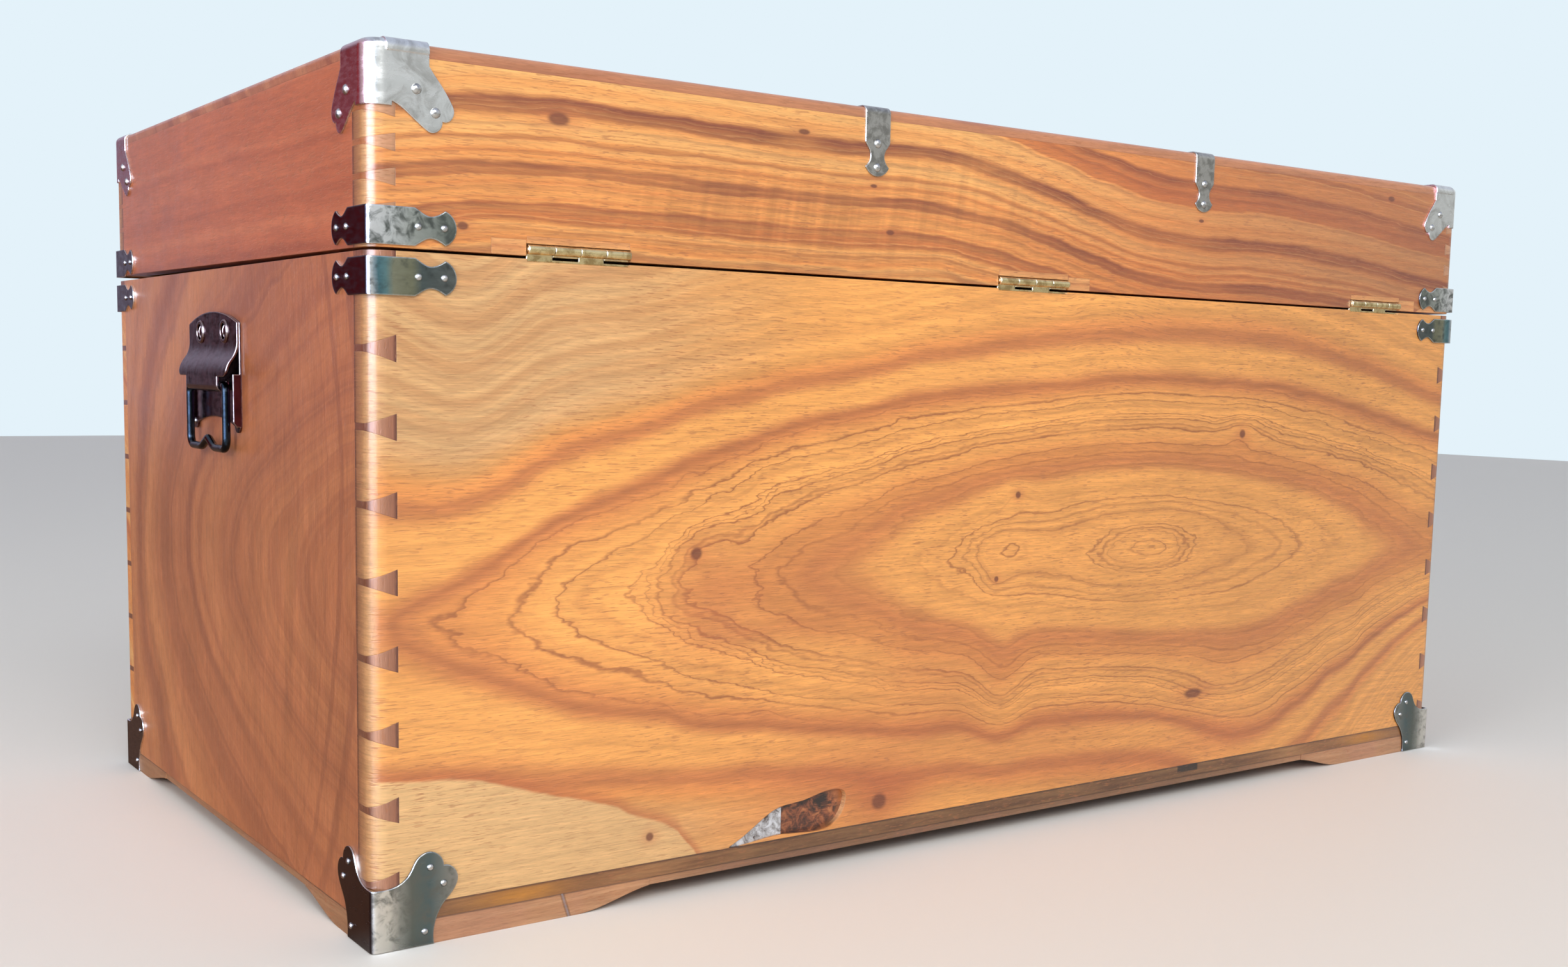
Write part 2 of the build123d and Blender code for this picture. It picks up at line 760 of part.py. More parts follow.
def make_handles():
    """Both handles. Gives back their screws and small nails."""
    screws, nails, openings = [], [], []
    hood = make_hood()
    for side in (-1, 1):
        spot = handle_plane(handle_plate)
        height = handle_axis_z + handle_screw_above
        point = (spot.origin.X, handle_middle_y + side * handle_screw_half, height)
        screws.append(placed(handle_screw(), point, (1, 0, 0)))
        ring = Cylinder(handle_ring_radius, handle_ring_height + hood_plate)
        ring = Pos(0, 0, (handle_ring_height + hood_plate) / 2) * ring
        hood += placed(ring, point, (1, 0, 0))
        opening = Cylinder(handle_screw_head, 2 * (handle_ring_height + hood_plate))
        openings.append(placed(opening, point, (1, 0, 0)))
        low = (point[0], handle_middle_y + side * handle_nail_side, handle_axis_z - handle_nail_below)
        nails.append(placed(round_nail(), low, (1, 0, 0)))
    hood = hood - openings
    backplate = cut(make_backplate(), screws + nails)
    for name, shape in (("handle_backplate", backplate), ("handle_hood", hood), ("bail", make_bail())):
        parts["right_" + name] = shape
        parts["left_" + name] = mirror(shape, about=Plane.YZ)
    screws += [mirror(screw, about=Plane.YZ) for screw in screws]
    nails += [mirror(nail, about=Plane.YZ) for nail in nails]
    parts["handle_screws"] = Compound(children=screws)
    return screws, nails


def make_lock():
    """The lock in the middle of the front. Gives back its screws and the wood that it displaces."""
    y_in = -inner_y
    y_out = y_in - lock_depth
    y_mid = (y_in + y_out) / 2
    top = body_top - selvedge_plate
    low = top - lock_height
    half = lock_length / 2
    eye_mid = link_floor() + link_eye_rim + bolt_play + bolt_height / 2
    key_z = body_top - keyhole_below
    case = block(-half, half, y_out, y_in, low, top)
    case -= block(
        -half + lock_wall, half - lock_wall, y_out + lock_wall, y_in - lock_wall,
        low + lock_wall, top - lock_wall,
    )
    case += block(-selvedge_length / 2, selvedge_length / 2, y_out, y_in, top, body_top)
    slot_x = link_thick / 2 + link_play
    slot_y = link_width / 2 + link_play
    case -= block(
        -slot_x, slot_x, y_mid - slot_y, y_mid + slot_y, top - lock_wall - overrun, body_top + overrun
    )
    ledge_top = eye_mid - bolt_height / 2 - bolt_play
    ledge_end = -link_thick / 2 - bolt_start + overrun / 2
    case += block(-half, ledge_end, y_out, y_in, ledge_top - bolt_ledge, ledge_top)
    keyhole = key_opening(key_z, y_out - overrun, y_out + lock_wall + overrun)
    tip = -link_thick / 2 - bolt_start
    parts["lock_bolt"] = block(
        tip - bolt_length, tip, y_mid - bolt_thick / 2, y_mid + bolt_thick / 2,
        eye_mid - bolt_height / 2, eye_mid + bolt_height / 2,
    )
    screws = []
    for side in (-1, 1):
        spot = (side * (selvedge_length + lock_length) / 4, y_mid, body_top)
        screws.append(placed(flat_screw(), spot, (0, 0, 1)))
    parts["lock_case"] = cut(case - keyhole, screws)
    front = -half_depth
    plate = Plane(origin=(0, front, key_z), x_dir=(1, 0, 0), z_dir=(0, -1, 0))
    shape = RectangleRounded(escutcheon_width, escutcheon_height, escutcheon_corner)
    escutcheon = extrude(plate * shape, amount=escutcheon_plate, dir=(0, -1, 0))
    escutcheon -= key_opening(key_z, front - escutcheon_plate - overrun, front + overrun)
    pins_made = []
    for across, up in ((-1, 0), (1, 0), (0, -1), (0, 1)):
        point = (
            across * (escutcheon_width / 2 - escutcheon_pin_inset), front - escutcheon_plate,
            key_z + up * (escutcheon_height / 2 - escutcheon_pin_inset),
        )
        pin = domed_pin(
            escutcheon_pin_head, escutcheon_pin_head / 2, escutcheon_pin_radius, escutcheon_pin_length
        )
        pins_made.append(placed(pin, point, (0, -1, 0)))
    parts["escutcheon"] = cut(escutcheon, pins_made)
    parts["escutcheon_pins"] = Compound(children=pins_made)
    mortise = [
        block(-half, half, y_out, y_in + overrun, low, body_top + overrun),
        block(-selvedge_length / 2, selvedge_length / 2, y_out, y_in + overrun, top, body_top + overrun),
        key_opening(key_z, front - overrun, y_out + overrun),
    ]
    return screws, mortise + pins_made


def key_opening(height, y_low, y_high):
    """A keyhole through everything between two depths."""
    plane = Plane(origin=(0, y_low, height), x_dir=(1, 0, 0), z_dir=(0, -1, 0))
    shape = Circle(keyhole_radius) + Pos(0, -keyhole_length / 2) * Rectangle(keyhole_slot, keyhole_length)
    return extrude(plane * shape, amount=y_high - y_low, dir=(0, 1, 0))


def link_top():
    """The height of the lid's lower edge at the lock."""
    return body_top + (seam_front_left + seam_front_right) / 2


def link_floor():
    """The height of the link's lower end."""
    return link_top() - link_reach


def make_link():
    """The link under the lid's front rail. Gives back its screws and the wood that it displaces."""
    y_in = -inner_y
    y_out = y_in - lock_depth
    y_mid = (y_in + y_out) / 2
    low = link_top()
    half = selvedge_length / 2
    plate = block(-half, half, y_out, y_in - link_play, low, low + selvedge_plate)
    tongue = block(
        -link_thick / 2, link_thick / 2, y_mid - link_width / 2, y_mid + link_width / 2, link_floor(), low
    )
    eye_low = link_floor() + link_eye_rim
    eye = block(
        -link_thick, link_thick, y_mid - bolt_thick / 2 - bolt_play, y_mid + bolt_thick / 2 + bolt_play,
        eye_low, eye_low + bolt_height + 2 * bolt_play,
    )
    screws = []
    for side in (-1, 1):
        spot = (side * lock_screw_spacing, y_mid, low)
        screws.append(placed(flat_screw(), spot, (0, 0, -1)))
    parts["lock_link"] = cut(plate + tongue - eye, screws)
    return screws, [block(-half, half, y_out, y_in - link_play, body_top, low + selvedge_plate)]


def knot_form(near, far, drop):
    """The knot's room in the back board, or its filling, between two places and below the surface."""
    start = knot_place_share * half_length
    points = [(start - across * knot_length, half_depth - knot_depth, boards_low + up * knot_height)
              for across, up in knot_shares]
    room = extrude(make_face(Spline(*points, periodic=True)), amount=knot_depth + overrun, dir=(0, 1, 0))
    limit = block(
        start - far, start - near, half_depth - knot_depth, half_depth - drop,
        boards_low, boards_low + 2 * knot_height,
    )
    return room & limit


def make_body(nails, tools):
    """The boards of the body, dovetailed at the corners, with the bottom board under them."""
    right_pins = pins(
        body_pin_wide, body_pin_narrow, body_pin_pitch, body_pin_first, body_pin_count, boards_low, body_top
    )
    right_pins += [mirror(pin, about=Plane.XZ) for pin in right_pins]
    form = trunk_form(0, 0, trunk_height)
    end = block(inner_x, half_length, -inner_y, inner_y, foot_height, body_top)
    end += block(inner_x, half_length, -half_depth, half_depth, foot_height, boards_low)
    end = (end + right_pins) & form
    left_end = mirror(end, about=Plane.YZ)
    all_pins = right_pins + [mirror(pin, about=Plane.YZ) for pin in right_pins]
    back = block(-half_length, half_length, inner_y, half_depth, boards_low, body_top)
    front = mirror(back, about=Plane.XZ)
    knot = knot_form(-overrun, knot_length + overrun, -overrun)
    parts["back_board"] = cut(cut(back, all_pins) & form, nails + tools + [knot])
    parts["knot_filler"] = knot_form(-overrun, knot_fill_length, knot_fill_drop)
    parts["front_board"] = cut(cut(front, all_pins) & form, nails + tools)
    parts["right_end_board"] = cut(end, nails + tools)
    parts["left_end_board"] = cut(left_end, nails + tools)
    bottom = block(-inner_x, inner_x, -half_depth, half_depth, foot_height, boards_low)
    parts["bottom_board"] = cut(bottom, nails)


def foot_face(plane, flat, reach):
    """The side of a foot piece, from the corner outwards, with a curved heel."""
    low = foot_height - strip_thick
    heel = [(flat + across, up) for across, up in scaled(foot_heel_shares, reach - flat, low)]
    return face_of(plane, [
        ((0, foot_height), (0, 0)),
        ((0, 0), (flat, 0)),
        [(flat, 0), *heel, (reach, low)],
        ((reach, low), (reach, foot_height)),
        ((reach, foot_height), (0, foot_height)),
    ])


def make_plinth(nails):
    """The feet, each of a long and a short piece mitred at the corner, and the strips between them."""
    form = trunk_form(0, 0, foot_height)
    long_face = foot_face(at_height(0), foot_long_flat, foot_long_reach)
    long_piece = extrude(long_face, amount=foot_width, dir=(0, -1, 0))
    short_plane = Plane(origin=(half_length, half_depth, 0), x_dir=(0, -1, 0), z_dir=(-1, 0, 0))
    short_face = foot_face(short_plane, foot_short_flat, foot_short_reach)
    short_piece = extrude(short_face, amount=foot_width, dir=(-1, 0, 0))
    size = foot_mitre_reach
    mitre = Polyline(
        (half_length, half_depth, 0),
        (half_length - size, half_depth - size, 0),
        (half_length, half_depth - size, 0),
        close=True,
    )
    corner = extrude(make_face(mitre), amount=foot_height, dir=(0, 0, 1))
    long_foot = cut((long_piece & form) - corner, nails)
    short_foot = cut((short_piece & form) & (corner + block(
        inner_x - foot_width, half_length, 0, half_depth - size, 0, foot_height
    )), nails)
    for name, copy in four_corners(Compound(children=[long_foot.solid(), short_foot.solid()])).items():
        parts["foot_" + name] = copy
    low = foot_height - strip_thick
    outer = half_depth - strip_setback
    long_strip = block(
        -half_length + foot_long_reach, half_length - foot_long_reach, outer - foot_width, outer,
        low, foot_height,
    )
    outer = half_length - strip_setback
    short_strip = block(
        outer - foot_width, outer, -half_depth + foot_short_reach, half_depth - foot_short_reach,
        low, foot_height,
    )
    strips = [long_strip, mirror(long_strip, about=Plane.XZ)]
    strips += [short_strip, mirror(short_strip, about=Plane.YZ)]
    parts["base_strips"] = Compound(children=strips)


def seam_cut(first, last, plane, thick):
    """What is planed off a rail's lower edge, between a start and an end (place, gap)."""
    low = body_top - overrun
    outline = face_of(plane, [
        ((first[0], low), (last[0], low)),
        ((last[0], low), (last[0], body_top + last[1])),
        ((last[0], body_top + last[1]), (first[0], body_top + first[1])),
        ((first[0], body_top + first[1]), (first[0], low)),
    ])
    return extrude(outline, amount=thick, both=True)


def make_lid(nails, tools, slips):
    """The lid: four dovetailed rails and a top board that overlays them."""
    right_pins = pins(
        lid_pin_wide, lid_pin_narrow, lid_pin_pitch, lid_pin_first, lid_pin_count, body_top, rail_top
    )
    right_pins += [mirror(pin, about=Plane.XZ) for pin in right_pins]
    all_pins = right_pins + [mirror(pin, about=Plane.YZ) for pin in right_pins]
    form = trunk_form(0, 0, trunk_height)
    along = Plane(origin=(0, 0, 0), x_dir=(1, 0, 0), z_dir=(0, -1, 0))
    across = Plane(origin=(0, 0, 0), x_dir=(0, 1, 0), z_dir=(1, 0, 0))
    x_end, y_end = half_length + overrun, half_depth + overrun
    front_cut = Pos(0, -half_depth, 0) * seam_cut(
        (-x_end, seam_front_left), (x_end, seam_front_right), along, long_board_thick
    )
    back_cut = Pos(0, half_depth, 0) * seam_cut(
        (-x_end, seam_back), (x_end, seam_back), along, long_board_thick
    )
    right_cut = Pos(half_length, 0, 0) * seam_cut(
        (-y_end, seam_front_right), (y_end, seam_back), across, end_board_thick
    )
    left_cut = Pos(-half_length, 0, 0) * seam_cut(
        (-y_end, seam_front_left), (y_end, seam_back), across, end_board_thick
    )
    back = block(-half_length, half_length, inner_y, half_depth, body_top, rail_top)
    front = mirror(back, about=Plane.XZ)
    right = block(inner_x, half_length, -inner_y, inner_y, body_top, rail_top)
    right = right + right_pins
    left = mirror(right, about=Plane.YZ)
    parts["lid_back_rail"] = cut((cut(back, all_pins) - back_cut) & form, nails + tools + slips)
    parts["lid_front_rail"] = cut((cut(front, all_pins) - front_cut) & form, nails + tools)
    right = (right - right_cut) & form
    left = (left - left_cut) & form
    parts["lid_right_rail"] = cut(right, nails + tools)
    parts["lid_left_rail"] = cut(left, nails + tools + slips)
    board = lid_form(0) & block(-half_length, half_length, -half_depth, half_depth, rail_top, trunk_height)
    board += block(-inner_x, inner_x, -inner_y, inner_y, rail_top - top_board_drop, rail_top)
    parts["lid_top_board"] = cut(board, nails)


def build():
    """Makes every piece of the trunk and writes each to its own file."""
    body_nails, lid_nails = make_fittings()
    body_screws, lid_screws, body_tools, lid_tools, slips = make_hinges()
    handle_screws, handle_nails = make_handles()
    lock_screws, mortise = make_lock()
    link_screws, link_mortise = make_link()
    body_nails += handle_nails
    body_screws += lock_screws
    lid_screws += link_screws
    make_body(body_nails, body_tools + mortise + body_screws + handle_screws)
    make_plinth(body_nails)
    make_lid(lid_nails, lid_tools + link_mortise + lid_screws, slips)
    parts["letin_pieces"] = Compound(children=slips)
    parts["body_nails"] = Compound(children=body_nails)
    parts["lid_nails"] = Compound(children=lid_nails)
    parts["body_screws"] = Compound(children=body_screws)
    parts["lid_screws"] = Compound(children=lid_screws)
    os.makedirs("parts", exist_ok=True)
    for name, shape in parts.items():
        export_step(shape, "parts/%s.step" % name)
        print(name, len(shape.solids()), "solids", round(shape.volume), "mm3")


build()
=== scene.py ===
# %% [markdown]
# # A camphor wood trunk
# The trunk is a dovetailed box of camphor wood, with a hinged lid, steel fittings on its
# corners and a drop handle on each end. Its boards, pins and hinges come from the CAD frame,
# so this lesson is about finishes: how to grow a figure in wood from a few simple shapes,
# and how to make metal look handled. Each finish is mixed from nodes, with no pictures.

# %% Load the frame
import math

import bpy
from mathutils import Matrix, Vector


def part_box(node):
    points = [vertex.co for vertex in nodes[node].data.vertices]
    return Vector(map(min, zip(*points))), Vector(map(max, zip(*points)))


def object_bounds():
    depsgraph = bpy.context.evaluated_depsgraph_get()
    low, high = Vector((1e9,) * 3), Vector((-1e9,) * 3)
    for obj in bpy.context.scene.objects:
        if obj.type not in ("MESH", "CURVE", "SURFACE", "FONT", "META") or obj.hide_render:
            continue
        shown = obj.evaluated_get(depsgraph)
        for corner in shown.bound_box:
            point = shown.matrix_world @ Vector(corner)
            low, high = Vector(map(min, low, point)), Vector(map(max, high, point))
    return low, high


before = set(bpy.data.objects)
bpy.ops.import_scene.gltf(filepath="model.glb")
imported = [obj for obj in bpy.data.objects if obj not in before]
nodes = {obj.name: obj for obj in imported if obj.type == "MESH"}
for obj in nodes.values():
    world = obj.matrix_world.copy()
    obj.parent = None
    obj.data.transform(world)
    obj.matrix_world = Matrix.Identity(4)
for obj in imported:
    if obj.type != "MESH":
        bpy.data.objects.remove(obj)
cad_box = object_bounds()
bpy.ops.object.select_all(action="DESELECT")
low_corner, high_corner = cad_box
print("frame", len(nodes), "nodes, from", tuple(low_corner), "to", tuple(high_corner))

# %% [markdown]
# Every place below follows from a few sizes of the trunk. They are read from the frame's own
# boards, so the looks stay on the boards if those change.

# %% Sizes
MM = 0.001
back_low, back_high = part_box("back_board")
end_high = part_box("right_end_board")[1]
half_length = back_high.x
board_length = 2 * half_length
half_depth = back_high.y
body_top = back_high.z
trunk_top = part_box("lid_top_board")[1].z
board_low = back_low.z
long_board = back_high.y - back_low.y
end_board = end_high.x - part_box("bottom_board")[1].x
inner_half_depth = half_depth - long_board
print("half length", half_length, "half depth", half_depth, "body top", body_top)

# %% [markdown]
# The camera stands low, behind the trunk's right end, as the photographer did. The horizon
# sits above the middle of the picture, so the lens is shifted instead of tilted up: a tilt
# would make the upright edges lean.

# %% Camera
camera_place = (0.79105, 1.05911, 0.31204)
camera_turn = (math.radians(83.78), math.radians(-1.13), math.radians(144.49))
sensor_width = 36.0
camera_lens = 37.6
camera_shift = 0.0428
camera_data = bpy.data.cameras.new("camera")
camera_data.sensor_width = sensor_width
camera_data.lens = camera_lens
camera_data.shift_y = camera_shift
camera = bpy.data.objects.new("camera", camera_data)
bpy.context.scene.collection.objects.link(camera)
camera.location = camera_place
camera.rotation_euler = camera_turn
bpy.context.scene.camera = camera
bpy.context.scene.view_settings.view_transform = "Standard"
print("camera at", camera_place)

# %% [markdown]
# A material is a small network of nodes. These few helpers add a node, join it up and give
# back its output, so that a finish further down reads from top to bottom like a recipe.


# %% Helpers for nodes
def paint(red, green, blue):
    """A colour as painters name it, from 0 to 255, in the linear values that nodes take."""
    linear = []
    for value in (red / 255, green / 255, blue / 255):
        linear.append(value / 12.92 if value <= 0.04045 else ((value + 0.055) / 1.055) ** 2.4)
    return (*linear, 1.0)


def new_material(name):
    """An empty material. Gives back the material and its node tree."""
    made = bpy.data.materials.new(name)
    made.use_nodes = True
    made.node_tree.nodes.clear()
    return made, made.node_tree


def plug(tree, socket, value):
    """Joins a socket to another node's output, or sets it to a plain value."""
    if isinstance(value, bpy.types.NodeSocket):
        tree.links.new(value, socket)
    else:
        socket.default_value = value


def maths(tree, operation, *values):
    """One step of arithmetic."""
    node = tree.nodes.new("ShaderNodeMath")
    node.operation = operation
    for socket, value in zip(node.inputs, values):
        plug(tree, socket, value)
    return node.outputs[0]


def total(tree, *terms):
    """The sum of several values."""
    result = terms[0]
    for term in terms[1:]:
        result = maths(tree, "ADD", result, term)
    return result


def blend(tree, share, first, second, mode="MIX"):
    """Two colours mixed by a share."""
    node = tree.nodes.new("ShaderNodeMix")
    node.data_type = "RGBA"
    node.blend_type = mode
    plug(tree, node.inputs[0], share)
    plug(tree, node.inputs[6], first)
    plug(tree, node.inputs[7], second)
    return node.outputs[2]


def ramp(tree, value, stops, smooth="LINEAR"):
    """A colour ramp from (place, colour) stops. A plain number stands for a grey."""
    node = tree.nodes.new("ShaderNodeValToRGB")
    node.color_ramp.interpolation = smooth
    elements = node.color_ramp.elements
    elements.remove(elements[1])
    for count, (place, colour) in enumerate(stops):
        element = elements[0] if count == 0 else elements.new(place)
        element.position = place
        element.color = colour if isinstance(colour, tuple) else (colour, colour, colour, 1.0)
    plug(tree, node.inputs[0], value)
    return node.outputs[0]


def fade(tree, value, start, end, low=0.0, high=1.0):
    """Takes a value from low to high as it goes from start to end, with soft ends."""
    node = tree.nodes.new("ShaderNodeMapRange")
    node.interpolation_type = "SMOOTHSTEP"
    for name, setting in (("Value", value), ("From Min", start), ("From Max", end),
                          ("To Min", low), ("To Max", high)):
        plug(tree, node.inputs[name], setting)
    return node.outputs[0]


def noise(tree, place, scale, detail=3.0, roughness=0.5, distortion=0.0):
    """Cloudy noise from 0 to 1, about 0.5 on average."""
    node = tree.nodes.new("ShaderNodeTexNoise")
    plug(tree, node.inputs["Vector"], place)
    plug(tree, node.inputs["Scale"], scale)
    plug(tree, node.inputs["Detail"], detail)
    plug(tree, node.inputs["Roughness"], roughness)
    plug(tree, node.inputs["Distortion"], distortion)
    return node.outputs[0]


def line_noise(tree, value, scale, detail=3.0, roughness=0.6):
    """Noise along one value, for lines of uneven spacing."""
    node = tree.nodes.new("ShaderNodeTexNoise")
    node.noise_dimensions = "1D"
    plug(tree, node.inputs["W"], value)
    plug(tree, node.inputs["Scale"], scale)
    plug(tree, node.inputs["Detail"], detail)
    plug(tree, node.inputs["Roughness"], roughness)
    return node.outputs[0]


def stretched(tree, place, scales, shift=(0.0, 0.0, 0.0), turn=(0.0, 0.0, 0.0)):
    """A place with its axes stretched, so that a round pattern turns long."""
    node = tree.nodes.new("ShaderNodeMapping")
    plug(tree, node.inputs["Vector"], place)
    node.inputs["Location"].default_value = shift
    node.inputs["Rotation"].default_value = turn
    node.inputs["Scale"].default_value = scales
    return node.outputs[0]


def own_place(tree):
    """The point on the object itself, in metres: the vector, and its x, y and z."""
    coordinates = tree.nodes.new("ShaderNodeTexCoord")
    split = tree.nodes.new("ShaderNodeSeparateXYZ")
    tree.links.new(coordinates.outputs["Object"], split.inputs[0])
    return coordinates.outputs["Object"], split.outputs[0], split.outputs[1], split.outputs[2]


def rounded_normal(tree, radius):
    """The surface's direction with its sharp edges softened by a radius."""
    node = tree.nodes.new("ShaderNodeBevel")
    node.samples = 4
    node.inputs["Radius"].default_value = radius
    return node.outputs[0]


def edge_wear_and_highlight(tree, radius, reach=0.9):
    """1 close to a sharp edge and 0 on the flat: how far a softened edge turns the surface."""
    geometry = tree.nodes.new("ShaderNodeNewGeometry")
    dot = tree.nodes.new("ShaderNodeVectorMath")
    dot.operation = "DOT_PRODUCT"
    tree.links.new(geometry.outputs["Normal"], dot.inputs[0])
    tree.links.new(rounded_normal(tree, radius), dot.inputs[1])
    return fade(tree, dot.outputs["Value"], 0.998, reach)


def spot(tree, along, up, centre, reach):
    """A soft round mark: 1 at its centre, fading to 0 at about its reach."""
    across = maths(tree, "DIVIDE", maths(tree, "SUBTRACT", along, centre[0]), reach[0])
    height = maths(tree, "DIVIDE", maths(tree, "SUBTRACT", up, centre[1]), reach[1])
    square = total(tree, maths(tree, "MULTIPLY", across, across), maths(tree, "MULTIPLY", height, height))
    return maths(tree, "POWER", math.e, maths(tree, "MULTIPLY", square, -1.0))


def finished(tree, colour, roughness, bump, normal, metallic=0.0, coat=0.0, coat_roughness=0.26, depth=0.2 * MM):
    """Joins a colour, a roughness and a bump into the shader and the output."""
    shader = tree.nodes.new("ShaderNodeBsdfPrincipled")
    output = tree.nodes.new("ShaderNodeOutputMaterial")
    relief = tree.nodes.new("ShaderNodeBump")
    relief.inputs["Strength"].default_value = 1.0
    relief.inputs["Distance"].default_value = depth
    plug(tree, relief.inputs["Height"], bump)
    plug(tree, relief.inputs["Normal"], normal)
    plug(tree, shader.inputs["Base Color"], colour)
    plug(tree, shader.inputs["Roughness"], roughness)
    plug(tree, shader.inputs["Normal"], relief.outputs[0])
    shader.inputs["Metallic"].default_value = metallic
    shader.inputs["Coat Weight"].default_value = coat
    shader.inputs["Coat Roughness"].default_value = coat_roughness
    tree.links.new(shader.outputs[0], output.inputs[0])


print("node helpers ready")

# %% [markdown]
# ## The figure of a board
# A tree grows a ring a year, and a saw cuts the rings at a slant, so a board shows them as
# contour lines. A map of such lines needs a hill: one value for each point of the board, whose
# level lines are the rings. The back board's hill is a long oval with pointed ends. One side
# of each ring is dark and sharp, the other fades, and small pores run along the board.


# %% Rings from a hill
def wavy(tree, place, value, scales, amount):
    """A value pushed up and down by noise, so that straight lines waver."""
    cloud = noise(tree, stretched(tree, place, scales), 1.0, 3.0, 0.6)
    return maths(tree, "ADD", value, maths(tree, "MULTIPLY", maths(tree, "SUBTRACT", cloud, 0.5), amount))


def pores(tree, place, long_scales, share=0.62):
    """Fine dark dashes along the grain: 1 in a pore, 0 between."""
    dashes = noise(tree, stretched(tree, place, long_scales), 1.0, 2.0, 0.6)
    return fade(tree, dashes, share, share + 0.1)


wood_dark = paint(112, 54, 30)
wood_line = paint(156, 86, 44)
wood_red = paint(190, 102, 56)
wood_brown = paint(208, 126, 68)
wood_band = paint(215, 133, 70)
wood_orange = paint(229, 146, 74)
wood_gold = paint(246, 169, 87)
wood_light = paint(240, 180, 110)
wood_pale = paint(232, 184, 124)
wood_grey = paint(207, 153, 98)
pore_colour = paint(168, 102, 58)


def vector(tree, *parts):
    """A point put together from its x, y and z."""
    node = tree.nodes.new("ShaderNodeCombineXYZ")
    for socket, part in zip(node.inputs, parts):
        plug(tree, socket, part)
    return node.outputs[0]


def profile(tree, along, points):
    """A smooth curve through (place, value) points, with places from 0 to the board's length."""
    share = maths(tree, "DIVIDE", along, board_length)
    return ramp(tree, share, [(place / board_length, value) for place, value in points], "CARDINAL")


def facing(tree, axis):
    """1 on faces that look along an axis, either way, and 0 on the others."""
    geometry = tree.nodes.new("ShaderNodeNewGeometry")
    split = tree.nodes.new("ShaderNodeSeparateXYZ")
    tree.links.new(geometry.outputs["Normal"], split.inputs[0])
    return fade(tree, maths(tree, "ABSOLUTE", split.outputs[axis]), 0.4, 0.95)


def ring_lines(tree, hill, place, count, crisp=0.24, uneven=0.5):
    """Thin dark lines where one ring ends, each fading over the ring that follows."""
    drift = maths(tree, "MULTIPLY", maths(tree, "SUBTRACT", line_noise(tree, hill, 5.0, 2.0), 0.5), uneven * count)
    saw = maths(tree, "FRACT", maths(tree, "ADD", maths(tree, "MULTIPLY", hill, count), drift))
    line = maths(tree, "MAXIMUM", fade(tree, saw, crisp, 0.0), fade(tree, saw, 1.0 - 0.5 * crisp, 1.0))
    tail = maths(tree, "MULTIPLY", fade(tree, saw, 0.4, 1.0), 0.25)
    strength = fade(tree, noise(tree, place, 9.0, 3.0, 0.6), 0.36, 0.6, 0.5, 1.0)
    uneven_share = fade(tree, line_noise(tree, hill, 2.3 * count, 1.0), 0.35, 0.6, 0.4, 1.0)
    strength = maths(tree, "MULTIPLY", strength, uneven_share)
    return maths(tree, "MULTIPLY", maths(tree, "MAXIMUM", line, tail), strength)


def wood_finish(tree, colour, place, grain_scales, pore_share=0.56, gloss=0.42, coat=0.8):
    """Polish over a colour: fibres, pores, a slightly uneven gloss and softened arrises."""
    fine = tuple(scale * 1.7 for scale in grain_scales)
    coarse = tuple(scale * 0.35 for scale in grain_scales)
    fibres = noise(tree, stretched(tree, place, fine), 1.0, 4.0, 0.7)
    streaks = noise(tree, stretched(tree, place, coarse), 1.0, 4.0, 0.65)
    colour = blend(tree, 1.0, colour, ramp(tree, fibres, ((0.3, 0.8), (0.7, 1.1))), "MULTIPLY")
    colour = blend(tree, 1.0, colour, ramp(tree, streaks, ((0.3, 0.84), (0.7, 1.1))), "MULTIPLY")
    short = tuple(scale * 2.2 if scale < 500 else scale for scale in grain_scales)
    dashes = pores(tree, place, short, pore_share)
    patchy = fade(tree, noise(tree, place, 14.0, 3.0, 0.6), 0.35, 0.65, 0.15, 0.6)
    colour = blend(tree, maths(tree, "MULTIPLY", dashes, patchy), colour, pore_colour)
    clouds = noise(tree, place, 6.0, 4.0, 0.6)
    colour = blend(tree, 1.0, colour, ramp(tree, clouds, ((0.3, 0.88), (0.7, 1.06))), "MULTIPLY")
    roughness = fade(tree, noise(tree, place, 30.0, 4.0, 0.7), 0.3, 0.7, gloss - 0.06, gloss + 0.1)
    bump = maths(tree, "SUBTRACT", maths(tree, "MULTIPLY", fibres, 0.4), dashes)
    finished(tree, colour, roughness, bump, rounded_normal(tree, 0.8 * MM), coat=coat, depth=0.1 * MM)


def dovetail_marks(tree, figure, x, y, paler=0.0):
    """End grain of the pins on the long sides, lighter toward the arris as painted highlight, and their thin dark
    necks on the end.
    """
    from_corner = maths(tree, "SUBTRACT", half_length, maths(tree, "ABSOLUTE", x))
    # Painted highlight: the pins grow paler toward the rounded corner.
    pin_and_highlight = ramp(tree, maths(tree, "DIVIDE", from_corner, end_board), (
        (0.1, paint(206, 150, 112)), (0.45, paint(176, 120, 90)),
        (0.85, paint(158, 100, 72)), (0.95, paint(108, 58, 40)),
    ))
    inside = maths(tree, "SUBTRACT", maths(tree, "ABSOLUTE", y), inner_half_depth)
    neck = maths(tree, "MULTIPLY", facing(tree, 0), fade(tree, inside, 0.0, 0.5 * MM))
    figure = blend(tree, neck, figure, blend(tree, paler, paint(118, 68, 44), wood_brown))
    return blend(tree, facing(tree, 1), figure, blend(tree, paler, pin_and_highlight, paint(224, 166, 120)))


